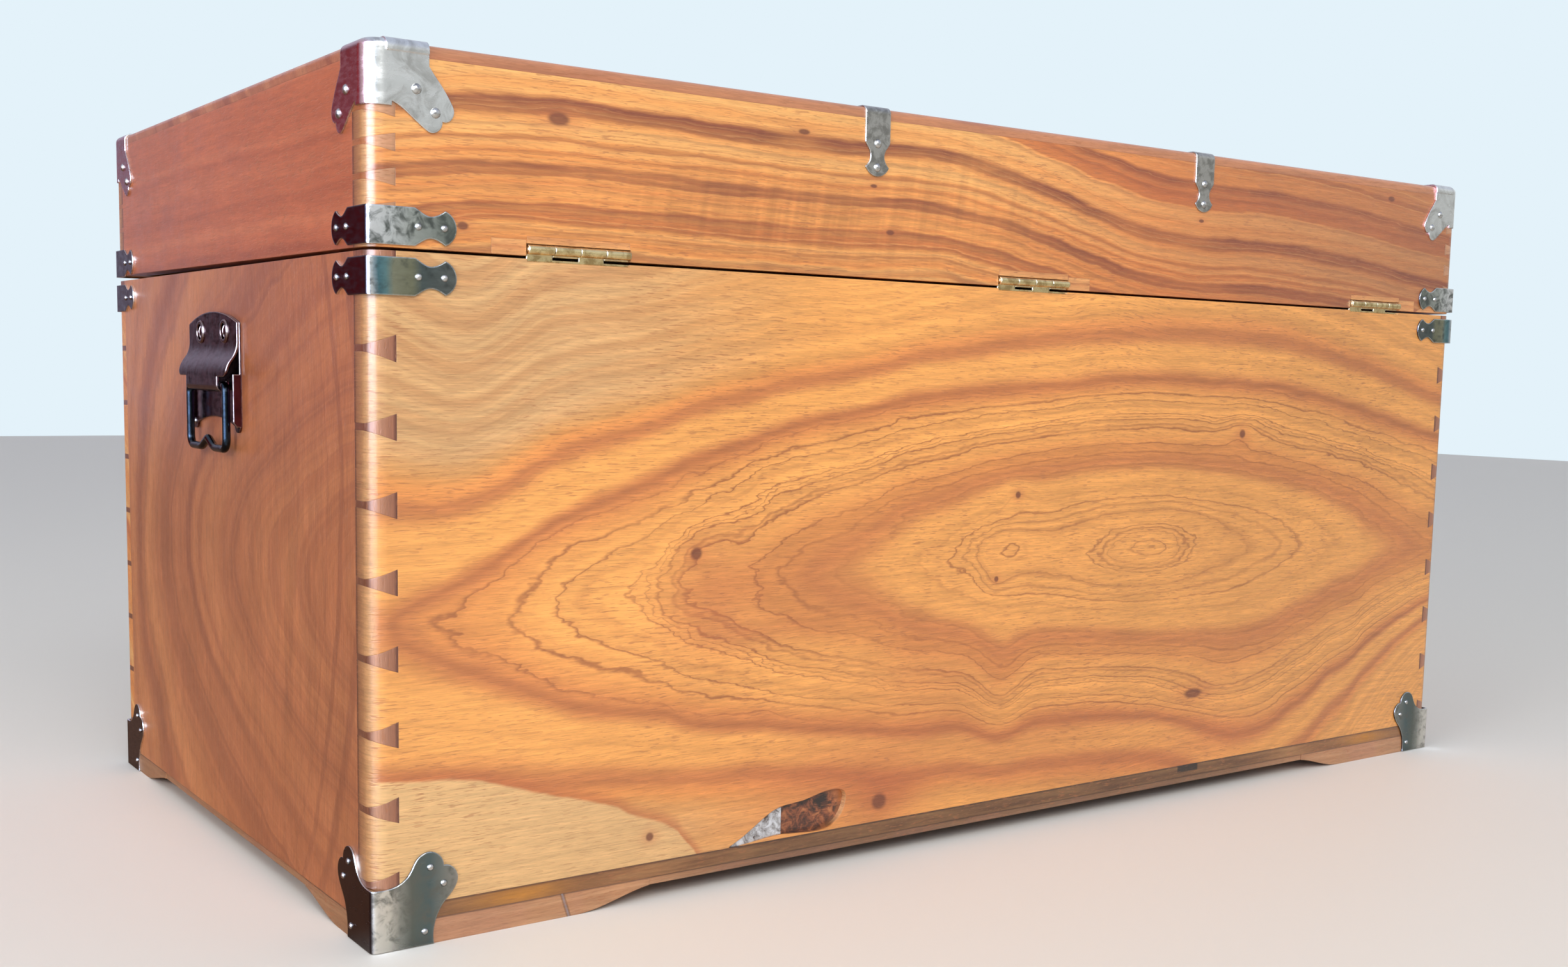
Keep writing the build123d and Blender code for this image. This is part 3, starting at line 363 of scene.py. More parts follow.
def end_grain(tree, figure, place, y):
    """Sawn-through fibres of a long board on its end, dark at the joint and lighter toward the arris, where the
    lightening is painted highlight.
    """
    speckle = noise(tree, stretched(tree, place, (700.0, 200.0, 500.0)), 1.0, 3.0, 0.6)
    inside = maths(tree, "SUBTRACT", maths(tree, "ABSOLUTE", y), inner_half_depth)
    # The lightening toward the arris is a painted highlight of the rounded corner.
    colour = ramp(tree, maths(tree, "DIVIDE", inside, long_board), (
        (0.05, paint(104, 56, 34)), (0.12, paint(152, 98, 58)),
        (0.4, paint(182, 126, 78)), (0.8, paint(214, 160, 106)),
    ))
    colour = blend(tree, 1.0, colour, ramp(tree, speckle, ((0.3, 0.86), (0.7, 1.08))), "MULTIPLY")
    return blend(tree, facing(tree, 0), figure, colour)


def knots(tree, colour, along, up, places):
    """Small dark knots with a red halo, at (along, up, length, height)."""
    for across, level, wide, tall in places:
        halo = spot(tree, along, up, (across, level), (wide * 2.6, tall * 2.2))
        core = fade(tree, spot(tree, along, up, (across, level), (wide * 1.2, tall * 1.2)), 0.25, 0.7)
        colour = blend(tree, maths(tree, "MULTIPLY", halo, 0.4), colour, wood_red)
        colour = blend(tree, maths(tree, "MULTIPLY", core, 0.85), colour, wood_dark)
    return colour


print("figure helpers ready")

# %% [markdown]
# The back board's rings are closed round a level line. Three curves along the board shape them:
# how many rings in the line itself crosses, and how far up and down the boldest ring reaches.
# Every other ring follows from these. The small teeth at their tips come from noise that moves
# the pattern along the grain only, because that is the way a saw cut meets the fibres.

# %% Back board
back_wood, tree = new_material("camphor_back")
place, x, y, z = own_place(tree)
along = maths(tree, "SUBTRACT", half_length, x)
middle_line = ((0.0, 0.176), (0.1, 0.18), (0.2, 0.185), (0.4, 0.19), (0.6, 0.19), (0.8, 0.184), (0.95, 0.175))
ring_count_line = (
    (0.0, 1.02), (0.01, 1.0), (0.095, 0.86), (0.18, 0.71), (0.25, 0.55), (0.345, 0.39), (0.42, 0.27),
    (0.5, 0.19), (0.59, 0.15), (0.65, 0.18), (0.7, 0.22), (0.75, 0.27), (0.8, 0.33), (0.85, 0.4), (0.95, 0.53),
)
reach_up = (
    (0.0, 0.16), (0.05, 0.14), (0.1, 0.158), (0.2, 0.158), (0.3, 0.148), (0.4, 0.139), (0.55, 0.135),
    (0.7, 0.145), (0.8, 0.149), (0.95, 0.152),
)
reach_down = (
    (0.0, 0.22), (0.075, 0.203), (0.1, 0.193), (0.175, 0.178), (0.25, 0.16), (0.35, 0.15), (0.45, 0.138),
    (0.6, 0.138), (0.65, 0.155), (0.7, 0.176), (0.75, 0.17), (0.8, 0.146), (0.85, 0.12), (0.95, 0.073),
)
outer_ring = (
    (0.0, 0.26), (0.1, 0.22), (0.2, 0.22), (0.35, 0.25), (0.45, 0.33), (0.6, 0.37), (0.8, 0.33), (0.95, 0.26),
)
fibre_spread = ((0.0, 1.45), (0.25, 1.2), (0.5, 1.0), (0.6, 1.0), (0.8, 1.1), (0.95, 1.3))

inner_ovals = (((0.448, 0.197), (0.034, 0.014), 0.13), ((0.585, 0.191), (0.056, 0.021), 0.15))
back_knots = (
    (0.2, 0.205, 0.0035, 0.0035), (0.4575, 0.2325, 0.0022, 0.0022), (0.44, 0.176, 0.0018, 0.0018),
    (0.6875, 0.2725, 0.003, 0.003), (0.645, 0.0775, 0.009, 0.0035), (0.17, 0.0385, 0.0024, 0.0024),
    (0.343, 0.036, 0.0056, 0.005),
)
up_reach = profile(tree, along, reach_up)
down_reach = profile(tree, along, reach_down)


def back_rings(run, up):
    """The hill whose level lines are the back board's rings."""
    rise = maths(tree, "SUBTRACT", up, profile(tree, run, middle_line))
    above = maths(tree, "DIVIDE", maths(tree, "MAXIMUM", rise, 0.0), up_reach)
    drop = maths(tree, "MAXIMUM", maths(tree, "MULTIPLY", rise, -1.0), 0.0)
    below = maths(tree, "DIVIDE", drop, down_reach)
    height = maths(tree, "POWER", maths(tree, "MAXIMUM", above, below), 1.5)
    hill = maths(tree, "ADD", height, profile(tree, run, ring_count_line))
    for centre, reach, deep in inner_ovals:
        oval = spot(tree, run, up, centre, reach)
        hill = maths(tree, "SUBTRACT", hill, maths(tree, "MULTIPLY", oval, deep))
    for across, level, wide, tall in back_knots:
        swell = spot(tree, along, z, (across, level), (wide * 7, tall * 5))
        hill = maths(tree, "SUBTRACT", hill, maths(tree, "MULTIPLY", swell, 0.055))
    return hill


other_place = stretched(tree, place, (1.0, 1.0, 1.0), shift=(0.31, 0.23, 0.77))
smooth_run = wavy(tree, place, along, (7.0, 7.0, 16.0), 44 * MM)
smooth_up = wavy(tree, other_place, z, (5.0, 5.0, 9.0), 9 * MM)
smooth_up = wavy(tree, place, smooth_up, (24.0, 24.0, 60.0), 4 * MM)
notch = maths(tree, "MULTIPLY", spot(tree, along, z, (0.4475, 0.1), (0.022, 0.045)), 16 * MM)
smooth_up = maths(tree, "ADD", smooth_up, notch)
hill = back_rings(smooth_run, smooth_up)
toothed = wavy(tree, other_place, smooth_run, (26.0, 26.0, 70.0), 38 * MM)
toothed = wavy(tree, place, toothed, (60.0, 60.0, 170.0), 15 * MM)
up = wavy(tree, other_place, smooth_up, (120.0, 120.0, 600.0), 1.4 * MM)
toothed_hill = back_rings(toothed, up)
beyond = maths(tree, "MAXIMUM", maths(tree, "SUBTRACT", hill, 1.0), 0.0)
stretch = maths(tree, "DIVIDE", 0.3, profile(tree, along, outer_ring))
hill = maths(tree, "ADD", maths(tree, "MINIMUM", hill, 1.0), maths(tree, "MULTIPLY", beyond, stretch))

zones = ramp(tree, maths(tree, "MULTIPLY", hill, 0.5), (
    (0.0, wood_gold), (0.2, wood_gold), (0.243, wood_band), (0.27, wood_orange), (0.34, wood_gold),
    (0.42, wood_gold), (0.49, wood_orange), (0.53, wood_gold), (0.59, wood_gold), (0.64, wood_band),
    (0.67, wood_orange), (0.74, wood_gold), (1.0, wood_gold),
), "EASE")
grey_share = maths(tree, "MULTIPLY", fade(tree, hill, 1.36, 1.56), fade(tree, along, 0.32, 0.1))
grey_tone = ramp(tree, line_noise(tree, hill, 6.0, 2.0), ((0.4, wood_grey), (0.6, paint(224, 174, 116))))
zones = blend(tree, grey_share, zones, grey_tone)
tone = line_noise(tree, hill, 10.0, 3.0, 0.6)
figure = blend(tree, 1.0, zones, ramp(tree, tone, ((0.3, 0.88), (0.7, 1.07))), "MULTIPLY")
thin = ring_lines(tree, toothed_hill, place, 14.0)
inner_share = fade(tree, hill, 1.06, 0.96, 0.12, 0.84)
figure = blend(tree, maths(tree, "MULTIPLY", thin, inner_share), figure, wood_line)
line_width = profile(tree, along, ((0.0, 0.2), (0.05, 0.36), (0.1, 0.55), (0.2, 0.75), (0.5, 1.0), (0.95, 0.8)))
lines = (
    (0.492, 0.03, 0.14, wood_line), (0.995, 0.11, 0.7, wood_brown), (0.995, 0.04, 0.4, wood_line),
    (1.3, 0.12, 0.5, wood_brown), (1.3, 0.045, 0.22, wood_line), (1.62, 0.05, 0.12, wood_line),
)
for middle, width, dark, shade in lines:
    off = maths(tree, "ABSOLUTE", maths(tree, "SUBTRACT", hill, middle))
    line = maths(tree, "MULTIPLY", fade(tree, off, maths(tree, "MULTIPLY", line_width, width), 0.0), dark)
    figure = blend(tree, line, figure, shade)
# Painted shade: the board is lightened at the near end and darkened toward the far end, as its light falls off.
slope = ramp(tree, maths(tree, "DIVIDE", along, board_length), ((0.0, 1.06), (0.2, 1.05), (0.5, 1.0), (1.0, 0.92)))
figure = blend(tree, 1.0, figure, slope, "MULTIPLY")

patch_edge = ((0.0, 0.094), (0.075, 0.083), (0.15, 0.06), (0.19, 0.04), (0.205, 0.02), (0.23, 0.0), (0.95, 0.0))
over_patch = maths(tree, "SUBTRACT", up, profile(tree, along, patch_edge))
figure = blend(tree, maths(tree, "MULTIPLY", fade(tree, over_patch, 9 * MM, 0.0), 0.6), figure, wood_red)
figure = blend(tree, fade(tree, over_patch, 0.5 * MM, -2 * MM), figure, wood_pale)
red_spots = (
    ((0.212, 0.176), (0.034, 0.032), 0.55), ((0.25, 0.155), (0.055, 0.008), 0.35), ((0.3, 0.05), (0.075, 0.03), 0.55),
    ((0.35, 0.04), (0.032, 0.022), 0.6), ((0.67, 0.04), (0.06, 0.022), 0.4),
    ((0.48, 0.062), (0.12, 0.022), 0.34), ((0.56, 0.03), (0.09, 0.014), 0.3), ((0.385, 0.11), (0.07, 0.03), 0.3),
)
for centre, reach, share in red_spots:
    red = spot(tree, smooth_run, up, centre, reach)
    figure = blend(tree, maths(tree, "MULTIPLY", red, share), figure, wood_red)
figure = knots(tree, figure, along, z, back_knots)

hollow_share = fade(tree, y, half_depth - 0.5 * MM, half_depth - 2.0 * MM)
in_knot = maths(tree, "MULTIPLY", spot(tree, along, z, (0.272, 0.036), (0.05, 0.02)), fade(tree, z, 14 * MM, 20 * MM))
hollow_wood = ramp(tree, noise(tree, place, 130.0, 4.0, 0.65, 0.8), (
    (0.36, paint(28, 16, 12)), (0.48, paint(88, 44, 26)), (0.58, paint(150, 84, 48)), (0.68, paint(186, 120, 72)),
))
figure = blend(tree, maths(tree, "MULTIPLY", hollow_share, fade(tree, in_knot, 0.3, 0.6)), figure, hollow_wood)
figure = end_grain(tree, figure, place, y)

spread = profile(tree, along, fibre_spread)
fibre_height = maths(tree, "MULTIPLY", maths(tree, "SUBTRACT", z, 0.187), spread)
fibre_place = vector(tree, x, y, fibre_height)
wood_finish(tree, figure, fibre_place, (45.0, 45.0, 1000.0))
print("back board's figure ready")

# %% [markdown]
# The lid's back rail was sawn across many rings, so it is striped from end to end. The
# stripes lie level at the near end, sink together before the middle, and then slope gently.
# A second, finer ripple runs across them, which joiners call fiddleback.

# %% Lid's back rail
lid_back_wood, tree = new_material("camphor_lid_back")
place, x, y, z = own_place(tree)
along = maths(tree, "SUBTRACT", half_length, x)
other_place = stretched(tree, place, (1.0, 1.0, 1.0), shift=(0.31, 0.23, 0.77))
fall = (
    (0.0, 0.008), (0.06, 0.001), (0.15, 0.0), (0.3, 0.002), (0.36, 0.0), (0.4, 0.002), (0.45, 0.01), (0.5, 0.021),
    (0.55, 0.031), (0.625, 0.039), (0.75, 0.04), (0.85, 0.049), (0.95, 0.059),
)
depth = maths(tree, "SUBTRACT", trunk_top, z)
level = maths(tree, "SUBTRACT", depth, profile(tree, along, fall))
level = wavy(tree, other_place, level, (6.0, 6.0, 14.0), 10 * MM)
level = wavy(tree, place, level, (16.0, 16.0, 80.0), 6 * MM)
level = wavy(tree, other_place, level, (70.0, 70.0, 500.0), 1.8 * MM)
soft = line_noise(tree, level, 44.0, 4.0, 0.6)
figure = ramp(tree, soft, (
    (0.3, paint(200, 112, 54)), (0.4, paint(222, 134, 66)),
    (0.5, paint(242, 160, 82)), (0.66, paint(252, 186, 108)),
), "EASE")
far_shade = ramp(tree, maths(tree, "DIVIDE", along, board_length), (
    (0.0, 1.0), (0.42, 1.0), (0.62, (0.86, 0.72, 0.66, 1.0)),
    (0.85, (0.68, 0.62, 0.64, 1.0)), (1.0, (0.62, 0.56, 0.58, 1.0)),
))
figure = blend(tree, 1.0, figure, far_shade, "MULTIPLY")
reddish = maths(tree, "MULTIPLY", fade(tree, along, 0.42, 0.88), 0.36)
figure = blend(tree, reddish, figure, paint(172, 98, 60))
stripe_colour = paint(130, 58, 32)
stripe_places = (
    (-0.034, 0.0018, 0.5), (-0.0165, 0.0026, 0.8), (-0.008, 0.0012, 0.4), (0.002, 0.001, 0.35), (0.0215, 0.003, 0.95),
    (0.026, 0.0013, 0.6), (0.033, 0.001, 0.35), (0.041, 0.0012, 0.4), (0.0545, 0.0022, 0.85), (0.0585, 0.0012, 0.6),
    (0.066, 0.0011, 0.4), (0.0755, 0.0022, 0.7), (0.083, 0.0012, 0.5), (0.09, 0.0014, 0.5), (0.099, 0.0024, 0.6),
)
strength = fade(tree, noise(tree, stretched(tree, place, (9.0, 9.0, 40.0)), 1.0, 3.0, 0.6), 0.3, 0.6, 0.5, 1.0)
for middle, width, dark in stripe_places:
    off = maths(tree, "SUBTRACT", level, middle)
    upper = fade(tree, off, -1.2 * width, 0.0)
    lower = fade(tree, off, width * 3.2, 0.0)
    stripe = maths(tree, "MULTIPLY", maths(tree, "MULTIPLY", upper, lower), strength)
    figure = blend(tree, maths(tree, "MULTIPLY", stripe, dark), figure, stripe_colour)
streaks = line_noise(tree, level, 300.0, 4.0, 0.7)
figure = blend(tree, fade(tree, streaks, 0.5, 0.28, 0.0, 0.42), figure, paint(170, 90, 46))
figure = blend(tree, fade(tree, streaks, 0.54, 0.72, 0.0, 0.24), figure, paint(250, 186, 112))
lean_x = maths(tree, "ADD", x, maths(tree, "MULTIPLY", z, 0.15))
lean_place = vector(tree, lean_x, 0.0, maths(tree, "MULTIPLY", z, 0.08))
curl = noise(tree, stretched(tree, lean_place, (110.0, 1.0, 110.0)), 1.0, 2.0, 0.5)
curl_area = maths(
    tree, "MAXIMUM", spot(tree, along, z, (0.27, 0.405), (0.13, 0.024)),
    maths(tree, "MULTIPLY", spot(tree, along, z, (0.4, 0.415), (0.08, 0.04)), 0.8),
)
curl_shade = blend(tree, curl_area, (1.0, 1.0, 1.0, 1.0), ramp(tree, curl, ((0.35, 0.8), (0.65, 1.1))))
figure = blend(tree, 1.0, figure, curl_shade, "MULTIPLY")
lid_knots = (
    (0.108, 0.4455, 0.0062, 0.0032), (0.272, 0.455, 0.004, 0.0015), (0.857, 0.46, 0.004, 0.002),
    (0.052, 0.385, 0.003, 0.002), (0.326, 0.4275, 0.0025, 0.001), (0.63, 0.427, 0.0025, 0.0012),
    (0.34, 0.4, 0.003, 0.0015),
)
figure = knots(tree, figure, along, z, lid_knots)
figure = end_grain(tree, figure, place, y)
wood_finish(tree, figure, place, (45.0, 45.0, 1000.0))
print("lid's back rail ready")

# %% [markdown]
# The end board's figure rises and falls: its rings bend round a point at the left, run out to
# the right at the top and the bottom, and close again near the back corner.

# %% Right end board
end_wood, tree = new_material("camphor_end")
place, x, y, z = own_place(tree)
rise = maths(tree, "DIVIDE", maths(tree, "SUBTRACT", z, 0.19), 0.13)
open_out = maths(tree, "ADD", maths(tree, "MULTIPLY", rise, rise), 1.0)
left_side = maths(tree, "DIVIDE", maths(tree, "ADD", y, 0.26), open_out)
hill = wavy(tree, place, left_side, (6.0, 6.0, 6.0), 46 * MM)
hill = wavy(tree, place, hill, (30.0, 30.0, 18.0), 9 * MM)
hill = wavy(tree, place, hill, (16.0, 60.0, 200.0), 4 * MM)
end_dark = paint(148, 84, 54)
end_red = paint(182, 108, 66)
end_light = paint(208, 132, 80)
soft = line_noise(tree, hill, 20.0, 2.0, 0.5)
figure = ramp(tree, soft, ((0.3, end_dark), (0.46, end_red), (0.66, end_light)), "EASE")
calm = maths(tree, "MULTIPLY", fade(tree, y, -0.1, 0.08), 0.6)
figure = blend(tree, calm, figure, end_red)
streaks = line_noise(tree, hill, 130.0, 3.0, 0.6)
figure = blend(tree, fade(tree, streaks, 0.5, 0.32, 0.0, 0.22), figure, end_dark)
figure = blend(tree, fade(tree, streaks, 0.52, 0.7, 0.0, 0.25), figure, end_light)
for middle, width, dark in ((0.052, 0.012, 0.7), (0.066, 0.004, 0.4), (0.122, 0.016, 0.55), (0.136, 0.004, 0.5)):
    off = maths(tree, "ABSOLUTE", maths(tree, "SUBTRACT", hill, middle))
    line = maths(tree, "MULTIPLY", fade(tree, off, width, 0.0), dark)
    figure = blend(tree, line, figure, end_dark)
bow = maths(tree, "DIVIDE", maths(tree, "SUBTRACT", z, 0.24), 0.3)
right_arcs = maths(tree, "ADD", y, maths(tree, "MULTIPLY", maths(tree, "MULTIPLY", bow, bow), 0.12))
right_arcs = wavy(tree, place, right_arcs, (10.0, 10.0, 10.0), 18 * MM)
arcs = fade(tree, line_noise(tree, right_arcs, 60.0, 3.0, 0.6), 0.5, 0.3)
right_share = maths(tree, "MULTIPLY", maths(tree, "MULTIPLY", fade(tree, y, 0.06, 0.2), arcs), 0.6)
figure = blend(tree, right_share, figure, end_dark)
curl = noise(tree, stretched(tree, place, (1.0, 60.0, 9.0), turn=(0.2, 0.0, 0.0)), 1.0, 2.0, 0.5)
curl_area = maths(tree, "MULTIPLY", spot(tree, y, z, (0.14, 0.15), (0.1, 0.1)), 0.8)
curled = blend(tree, 1.0, figure, ramp(tree, curl, ((0.35, 0.84), (0.65, 1.12))), "MULTIPLY")
figure = blend(tree, curl_area, figure, curled)
figure = dovetail_marks(tree, figure, x, y)
wood_finish(tree, figure, place, (900.0, 900.0, 60.0), gloss=0.34)
print("right end board ready")

# %% [markdown]
# The lid's end rails are cut from redder wood with a quiet, level grain, so three close colours
# and a few slow waves are enough. The ends of the dovetail pins show on the long sides.

# %% Lid's end rails
lid_end_wood, tree = new_material("camphor_lid_end")
place, x, y, z = own_place(tree)
level = wavy(tree, place, z, (7.0, 7.0, 10.0), 14 * MM)
figure = ramp(tree, line_noise(tree, level, 70.0, 4.0, 0.55), (
    (0.28, paint(172, 90, 52)), (0.5, paint(194, 106, 64)), (0.7, paint(206, 118, 74)),
), "EASE")
figure = dovetail_marks(tree, figure, x, y, 0.55)
wood_finish(tree, figure, place, (60.0, 60.0, 900.0), gloss=0.34)
print("lid's end rails ready")

# %% [markdown]
# Joiners mend old hinge cuts with slips of new wood, a little paler than the board round them.
# The filler in the knot hole is another matter: a grey, crumbly paste, so it gets a coarse
# noise for its grains and a strong bump instead of fibres.

# %% Let-in wood and filler
letin_wood, tree = new_material("letin_wood")
place, x, y, z = own_place(tree)
level = wavy(tree, place, z, (20.0, 20.0, 60.0), 5 * MM)
stripes = line_noise(tree, level, 300.0, 3.0, 0.6)
figure = ramp(tree, stripes, ((0.3, paint(212, 134, 76)), (0.7, paint(238, 170, 104))))
wood_finish(tree, figure, place, (60.0, 60.0, 1000.0))
filler, tree = new_material("knot_filler")
place, x, y, z = own_place(tree)
grains = noise(tree, place, 160.0, 5.0, 0.7, 0.6)
figure = ramp(tree, grains, ((0.36, paint(70, 52, 42)), (0.46, paint(150, 148, 148)), (0.6, paint(206, 208, 212))))
lumps = noise(tree, place, 90.0, 4.0, 0.6)
finished(tree, figure, 0.5, lumps, rounded_normal(tree, 0.8 * MM), depth=1.2 * MM)
print("let-in wood and filler ready")

# %% [markdown]
# The front and the top aren't seen in the photograph, so they get a quiet figure of level
# stripes. One helper makes both, because only the colours and the slant differ.

# %% Plain boards and the lid's top
def striped_wood(name, colours, tilt, grain_scales):
    """A quiet board: broad level stripes between three colours."""
    made, tree = new_material(name)
    place, x, y, z = own_place(tree)
    level = wavy(tree, place, z, (5.0, 5.0, 10.0), 30 * MM)
    level = wavy(tree, place, level, (20.0, 20.0, 60.0), 6 * MM)
    level = maths(tree, "ADD", level, maths(tree, "MULTIPLY", y, tilt))
    stripes = line_noise(tree, level, 34.0, 4.0, 0.6)
    figure = ramp(tree, stripes, ((0.3, colours[0]), (0.48, colours[1]), (0.68, colours[2])), "EASE")
    wood_finish(tree, figure, place, grain_scales)
    return made


plain_wood = striped_wood("camphor_plain", (wood_red, wood_orange, wood_light), 0.8, (45.0, 700.0, 700.0))
top_wood = striped_wood(
    "camphor_top", (paint(150, 84, 54), paint(176, 106, 70), paint(196, 128, 86)), 1.0, (45.0, 700.0, 700.0),
)

# %% [markdown]
# The edge of the bottom board lies over the plinth as a darker band, with a fine line of painted shade where the two
# meet. Both are painted darker toward the middle of the long sides and on the ends: this darkening is painted shade.

# %% Bottom board and plinth
bottom_wood, tree = new_material("camphor_bottom")
place, x, y, z = own_place(tree)
from_end = maths(tree, "SUBTRACT", half_length, maths(tree, "ABSOLUTE", x))
stripes = noise(tree, stretched(tree, place, (16.0, 16.0, 200.0)), 1.0, 3.0, 0.6)
figure = ramp(tree, stripes, ((0.36, paint(150, 96, 52)), (0.5, paint(184, 126, 74)), (0.64, paint(206, 148, 90))))
near_end = maths(tree, "MULTIPLY", fade(tree, from_end, 0.2, 0.12), 0.7)
figure = blend(tree, near_end, figure, paint(138, 88, 46))
golden = spot(tree, from_end, z, (0.086, 0.0185), (0.026, 0.005))
figure = blend(tree, golden, figure, paint(208, 136, 42))
# Painted shade: a dark line along the bottom board's upper edge, where the back board meets it.
seam_shade = fade(tree, z, board_low - 1.6 * MM, board_low - 0.4 * MM, 0.0, 0.75)
figure = blend(tree, seam_shade, figure, paint(88, 50, 30))
nick_off = maths(tree, "ABSOLUTE", maths(tree, "ADD", x, 168 * MM))
nick = maths(tree, "MULTIPLY", fade(tree, nick_off, 12 * MM, 10.5 * MM), fade(tree, z, 17 * MM, 18.5 * MM))
nick = maths(tree, "MULTIPLY", nick, fade(tree, y, half_depth - 6 * MM, half_depth - 4 * MM))
figure = blend(tree, nick, figure, paint(62, 38, 26))
# Painted shade: the strip is darkened all over, most on the end faces, and more toward the middle of the long sides.
painted_side_shade = ramp(tree, facing(tree, 0), ((0.0, 0.78), (1.0, 0.62)))
figure = blend(tree, 1.0, figure, painted_side_shade, "MULTIPLY")
middle_shade = ((0.0, 1.0), (0.3, 1.0), (0.5, 0.5), (1.0, 0.46))
figure = blend(tree, 1.0, figure, ramp(tree, maths(tree, "MULTIPLY", from_end, 2.0), middle_shade), "MULTIPLY")
wood_finish(tree, figure, place, (60.0, 60.0, 900.0))

plinth_wood, tree = new_material("camphor_plinth")
place, x, y, z = own_place(tree)
foot_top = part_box("foot_back_right")[1].z
level = wavy(tree, place, z, (12.0, 12.0, 30.0), 10 * MM)
stripes = line_noise(tree, level, 160.0, 4.0, 0.6)
figure = ramp(tree, stripes, (
    (0.3, paint(178, 116, 74)), (0.5, paint(206, 146, 100)), (0.68, paint(220, 164, 118)),
), "EASE")
patches = noise(tree, stretched(tree, place, (22.0, 22.0, 10.0)), 1.0, 2.0, 0.5)
figure = blend(tree, fade(tree, patches, 0.5, 0.62, 0.0, 0.5), figure, paint(212, 148, 114))
# Painted shade: a dark line at the top of the plinth, under the bottom board's edge.
joint = fade(tree, z, foot_top - 1.0 * MM, foot_top - 0.3 * MM, 0.0, 0.7)
figure = blend(tree, joint, figure, paint(88, 50, 32))
crack_x = maths(tree, "ADD", maths(tree, "MULTIPLY", z, 0.32), 358.2 * MM)
crack_off = maths(tree, "ABSOLUTE", maths(tree, "SUBTRACT", x, crack_x))
crack_side = 0.9 * MM
rim_off = maths(tree, "ABSOLUTE", maths(tree, "SUBTRACT", crack_off, crack_side))
rusty = fade(tree, rim_off, crack_side, 0.3 * MM, 0.0, 0.5)
figure = blend(tree, rusty, figure, paint(96, 62, 48))
figure = blend(tree, fade(tree, crack_off, 0.8 * MM, 0.4 * MM, 0.0, 0.7), figure, paint(146, 140, 150))
# Painted shade: the plinth is darkened all over, most on the end faces, and more toward the middle of the long sides.
painted_side_shade = ramp(tree, facing(tree, 0), ((0.0, 0.76), (1.0, 0.56)))
figure = blend(tree, 1.0, figure, painted_side_shade, "MULTIPLY")
from_end = maths(tree, "SUBTRACT", half_length, maths(tree, "ABSOLUTE", x))
figure = blend(tree, 1.0, figure, ramp(tree, maths(tree, "MULTIPLY", from_end, 2.0), middle_shade), "MULTIPLY")
wood_finish(tree, figure, place, (60.0, 60.0, 900.0))
print("plain boards, top and plinth ready")

# %% [markdown]
# ## Metal
# The straps were blackened steel. Their edges are bright, partly from hands and polish and partly as painted
# highlight, and the flats keep a mottled patina. A softened edge tells the shader where the bright rim reaches. Near
# their folds and on their end wings the colours are painted highlight and painted reflection.


# %% Metals
def metal(
    name, flat, mottle, edge, roughness, spread=(0.42, 0.62), folded=(), wing=None, clouds=(150.0, 0.4),
):
    """A handled metal: a mottled flat, bright edges of wear and painted highlight, and fine smears.

    A folded fitting can change colour with the distance from its fold (in millimetres), which paints a highlight
    beside the fold, and have another colour on the wing that lies on the trunk's end, a painted reflection of the
    room there.
    """
    wear = 0.9
    edge_radius = 1.1 * MM
    made, tree = new_material(name)
    place, x, y, z = own_place(tree)
    wear_and_highlight = maths(tree, "MULTIPLY", edge_wear_and_highlight(tree, edge_radius), wear)
    if folded:
        from_fold = maths(tree, "SUBTRACT", half_length, maths(tree, "ABSOLUTE", x))
        from_fold = wavy(tree, place, from_fold, (60.0, 60.0, 60.0), 3 * MM)
        share = maths(tree, "DIVIDE", from_fold, 80 * MM)
        # Painted highlight: the folded ramps run brightest at the fold.
        flat = ramp(tree, share, [((distance + 1.5) / 80, shade) for distance, shade in folded])
    cloudy = noise(tree, place, clouds[0], 4.0, 0.6, clouds[1])
    colour = blend(tree, fade(tree, cloudy, *spread), flat, mottle)
    if wing:
        # Painted reflection: the wing on the trunk's end takes the colour of the room it faces.
        on_end = facing(tree, 0)
        colour = blend(tree, on_end, colour, wing)
        wear_and_highlight = maths(tree, "MULTIPLY", wear_and_highlight, maths(tree, "SUBTRACT", 1.0, maths(tree, "MULTIPLY", on_end, 0.8)))
    patchy = fade(tree, noise(tree, place, 260.0, 3.0, 0.6), 0.3, 0.55, 0.5, 1.0)
    # The bright rim is partly wear and partly painted highlight.
    colour = blend(tree, maths(tree, "MULTIPLY", wear_and_highlight, patchy), colour, edge)
    smears = noise(tree, stretched(tree, place, (90.0, 90.0, 300.0)), 1.0, 4.0, 0.7)
    gloss = fade(tree, smears, 0.3, 0.7, max(roughness - 0.06, 0.05), roughness + 0.08)
    dents = noise(tree, place, 90.0, 2.0, 0.5)
    finished(tree, colour, gloss, dents, rounded_normal(tree, edge_radius), metallic=1.0, depth=0.1 * MM)
    return made


rim_wear_and_highlight = paint(232, 234, 232)
end_wing_reflection = paint(66, 58, 70)
# Painted highlight beside the fold of the straps, and a dark painted reflection on their end wings.
strap_metal = metal(
    "strap_steel", None, paint(74, 80, 80), rim_wear_and_highlight, 0.17, spread=(0.48, 0.8), wing=end_wing_reflection, folded=(
        (0, paint(232, 238, 242)), (2, paint(170, 192, 204)), (4, paint(100, 144, 156)), (8, paint(122, 160, 164)),
        (12, paint(160, 162, 140)), (22, paint(148, 150, 126)),
        (27, paint(104, 116, 116)), (45, paint(118, 124, 122)),
    ),
)
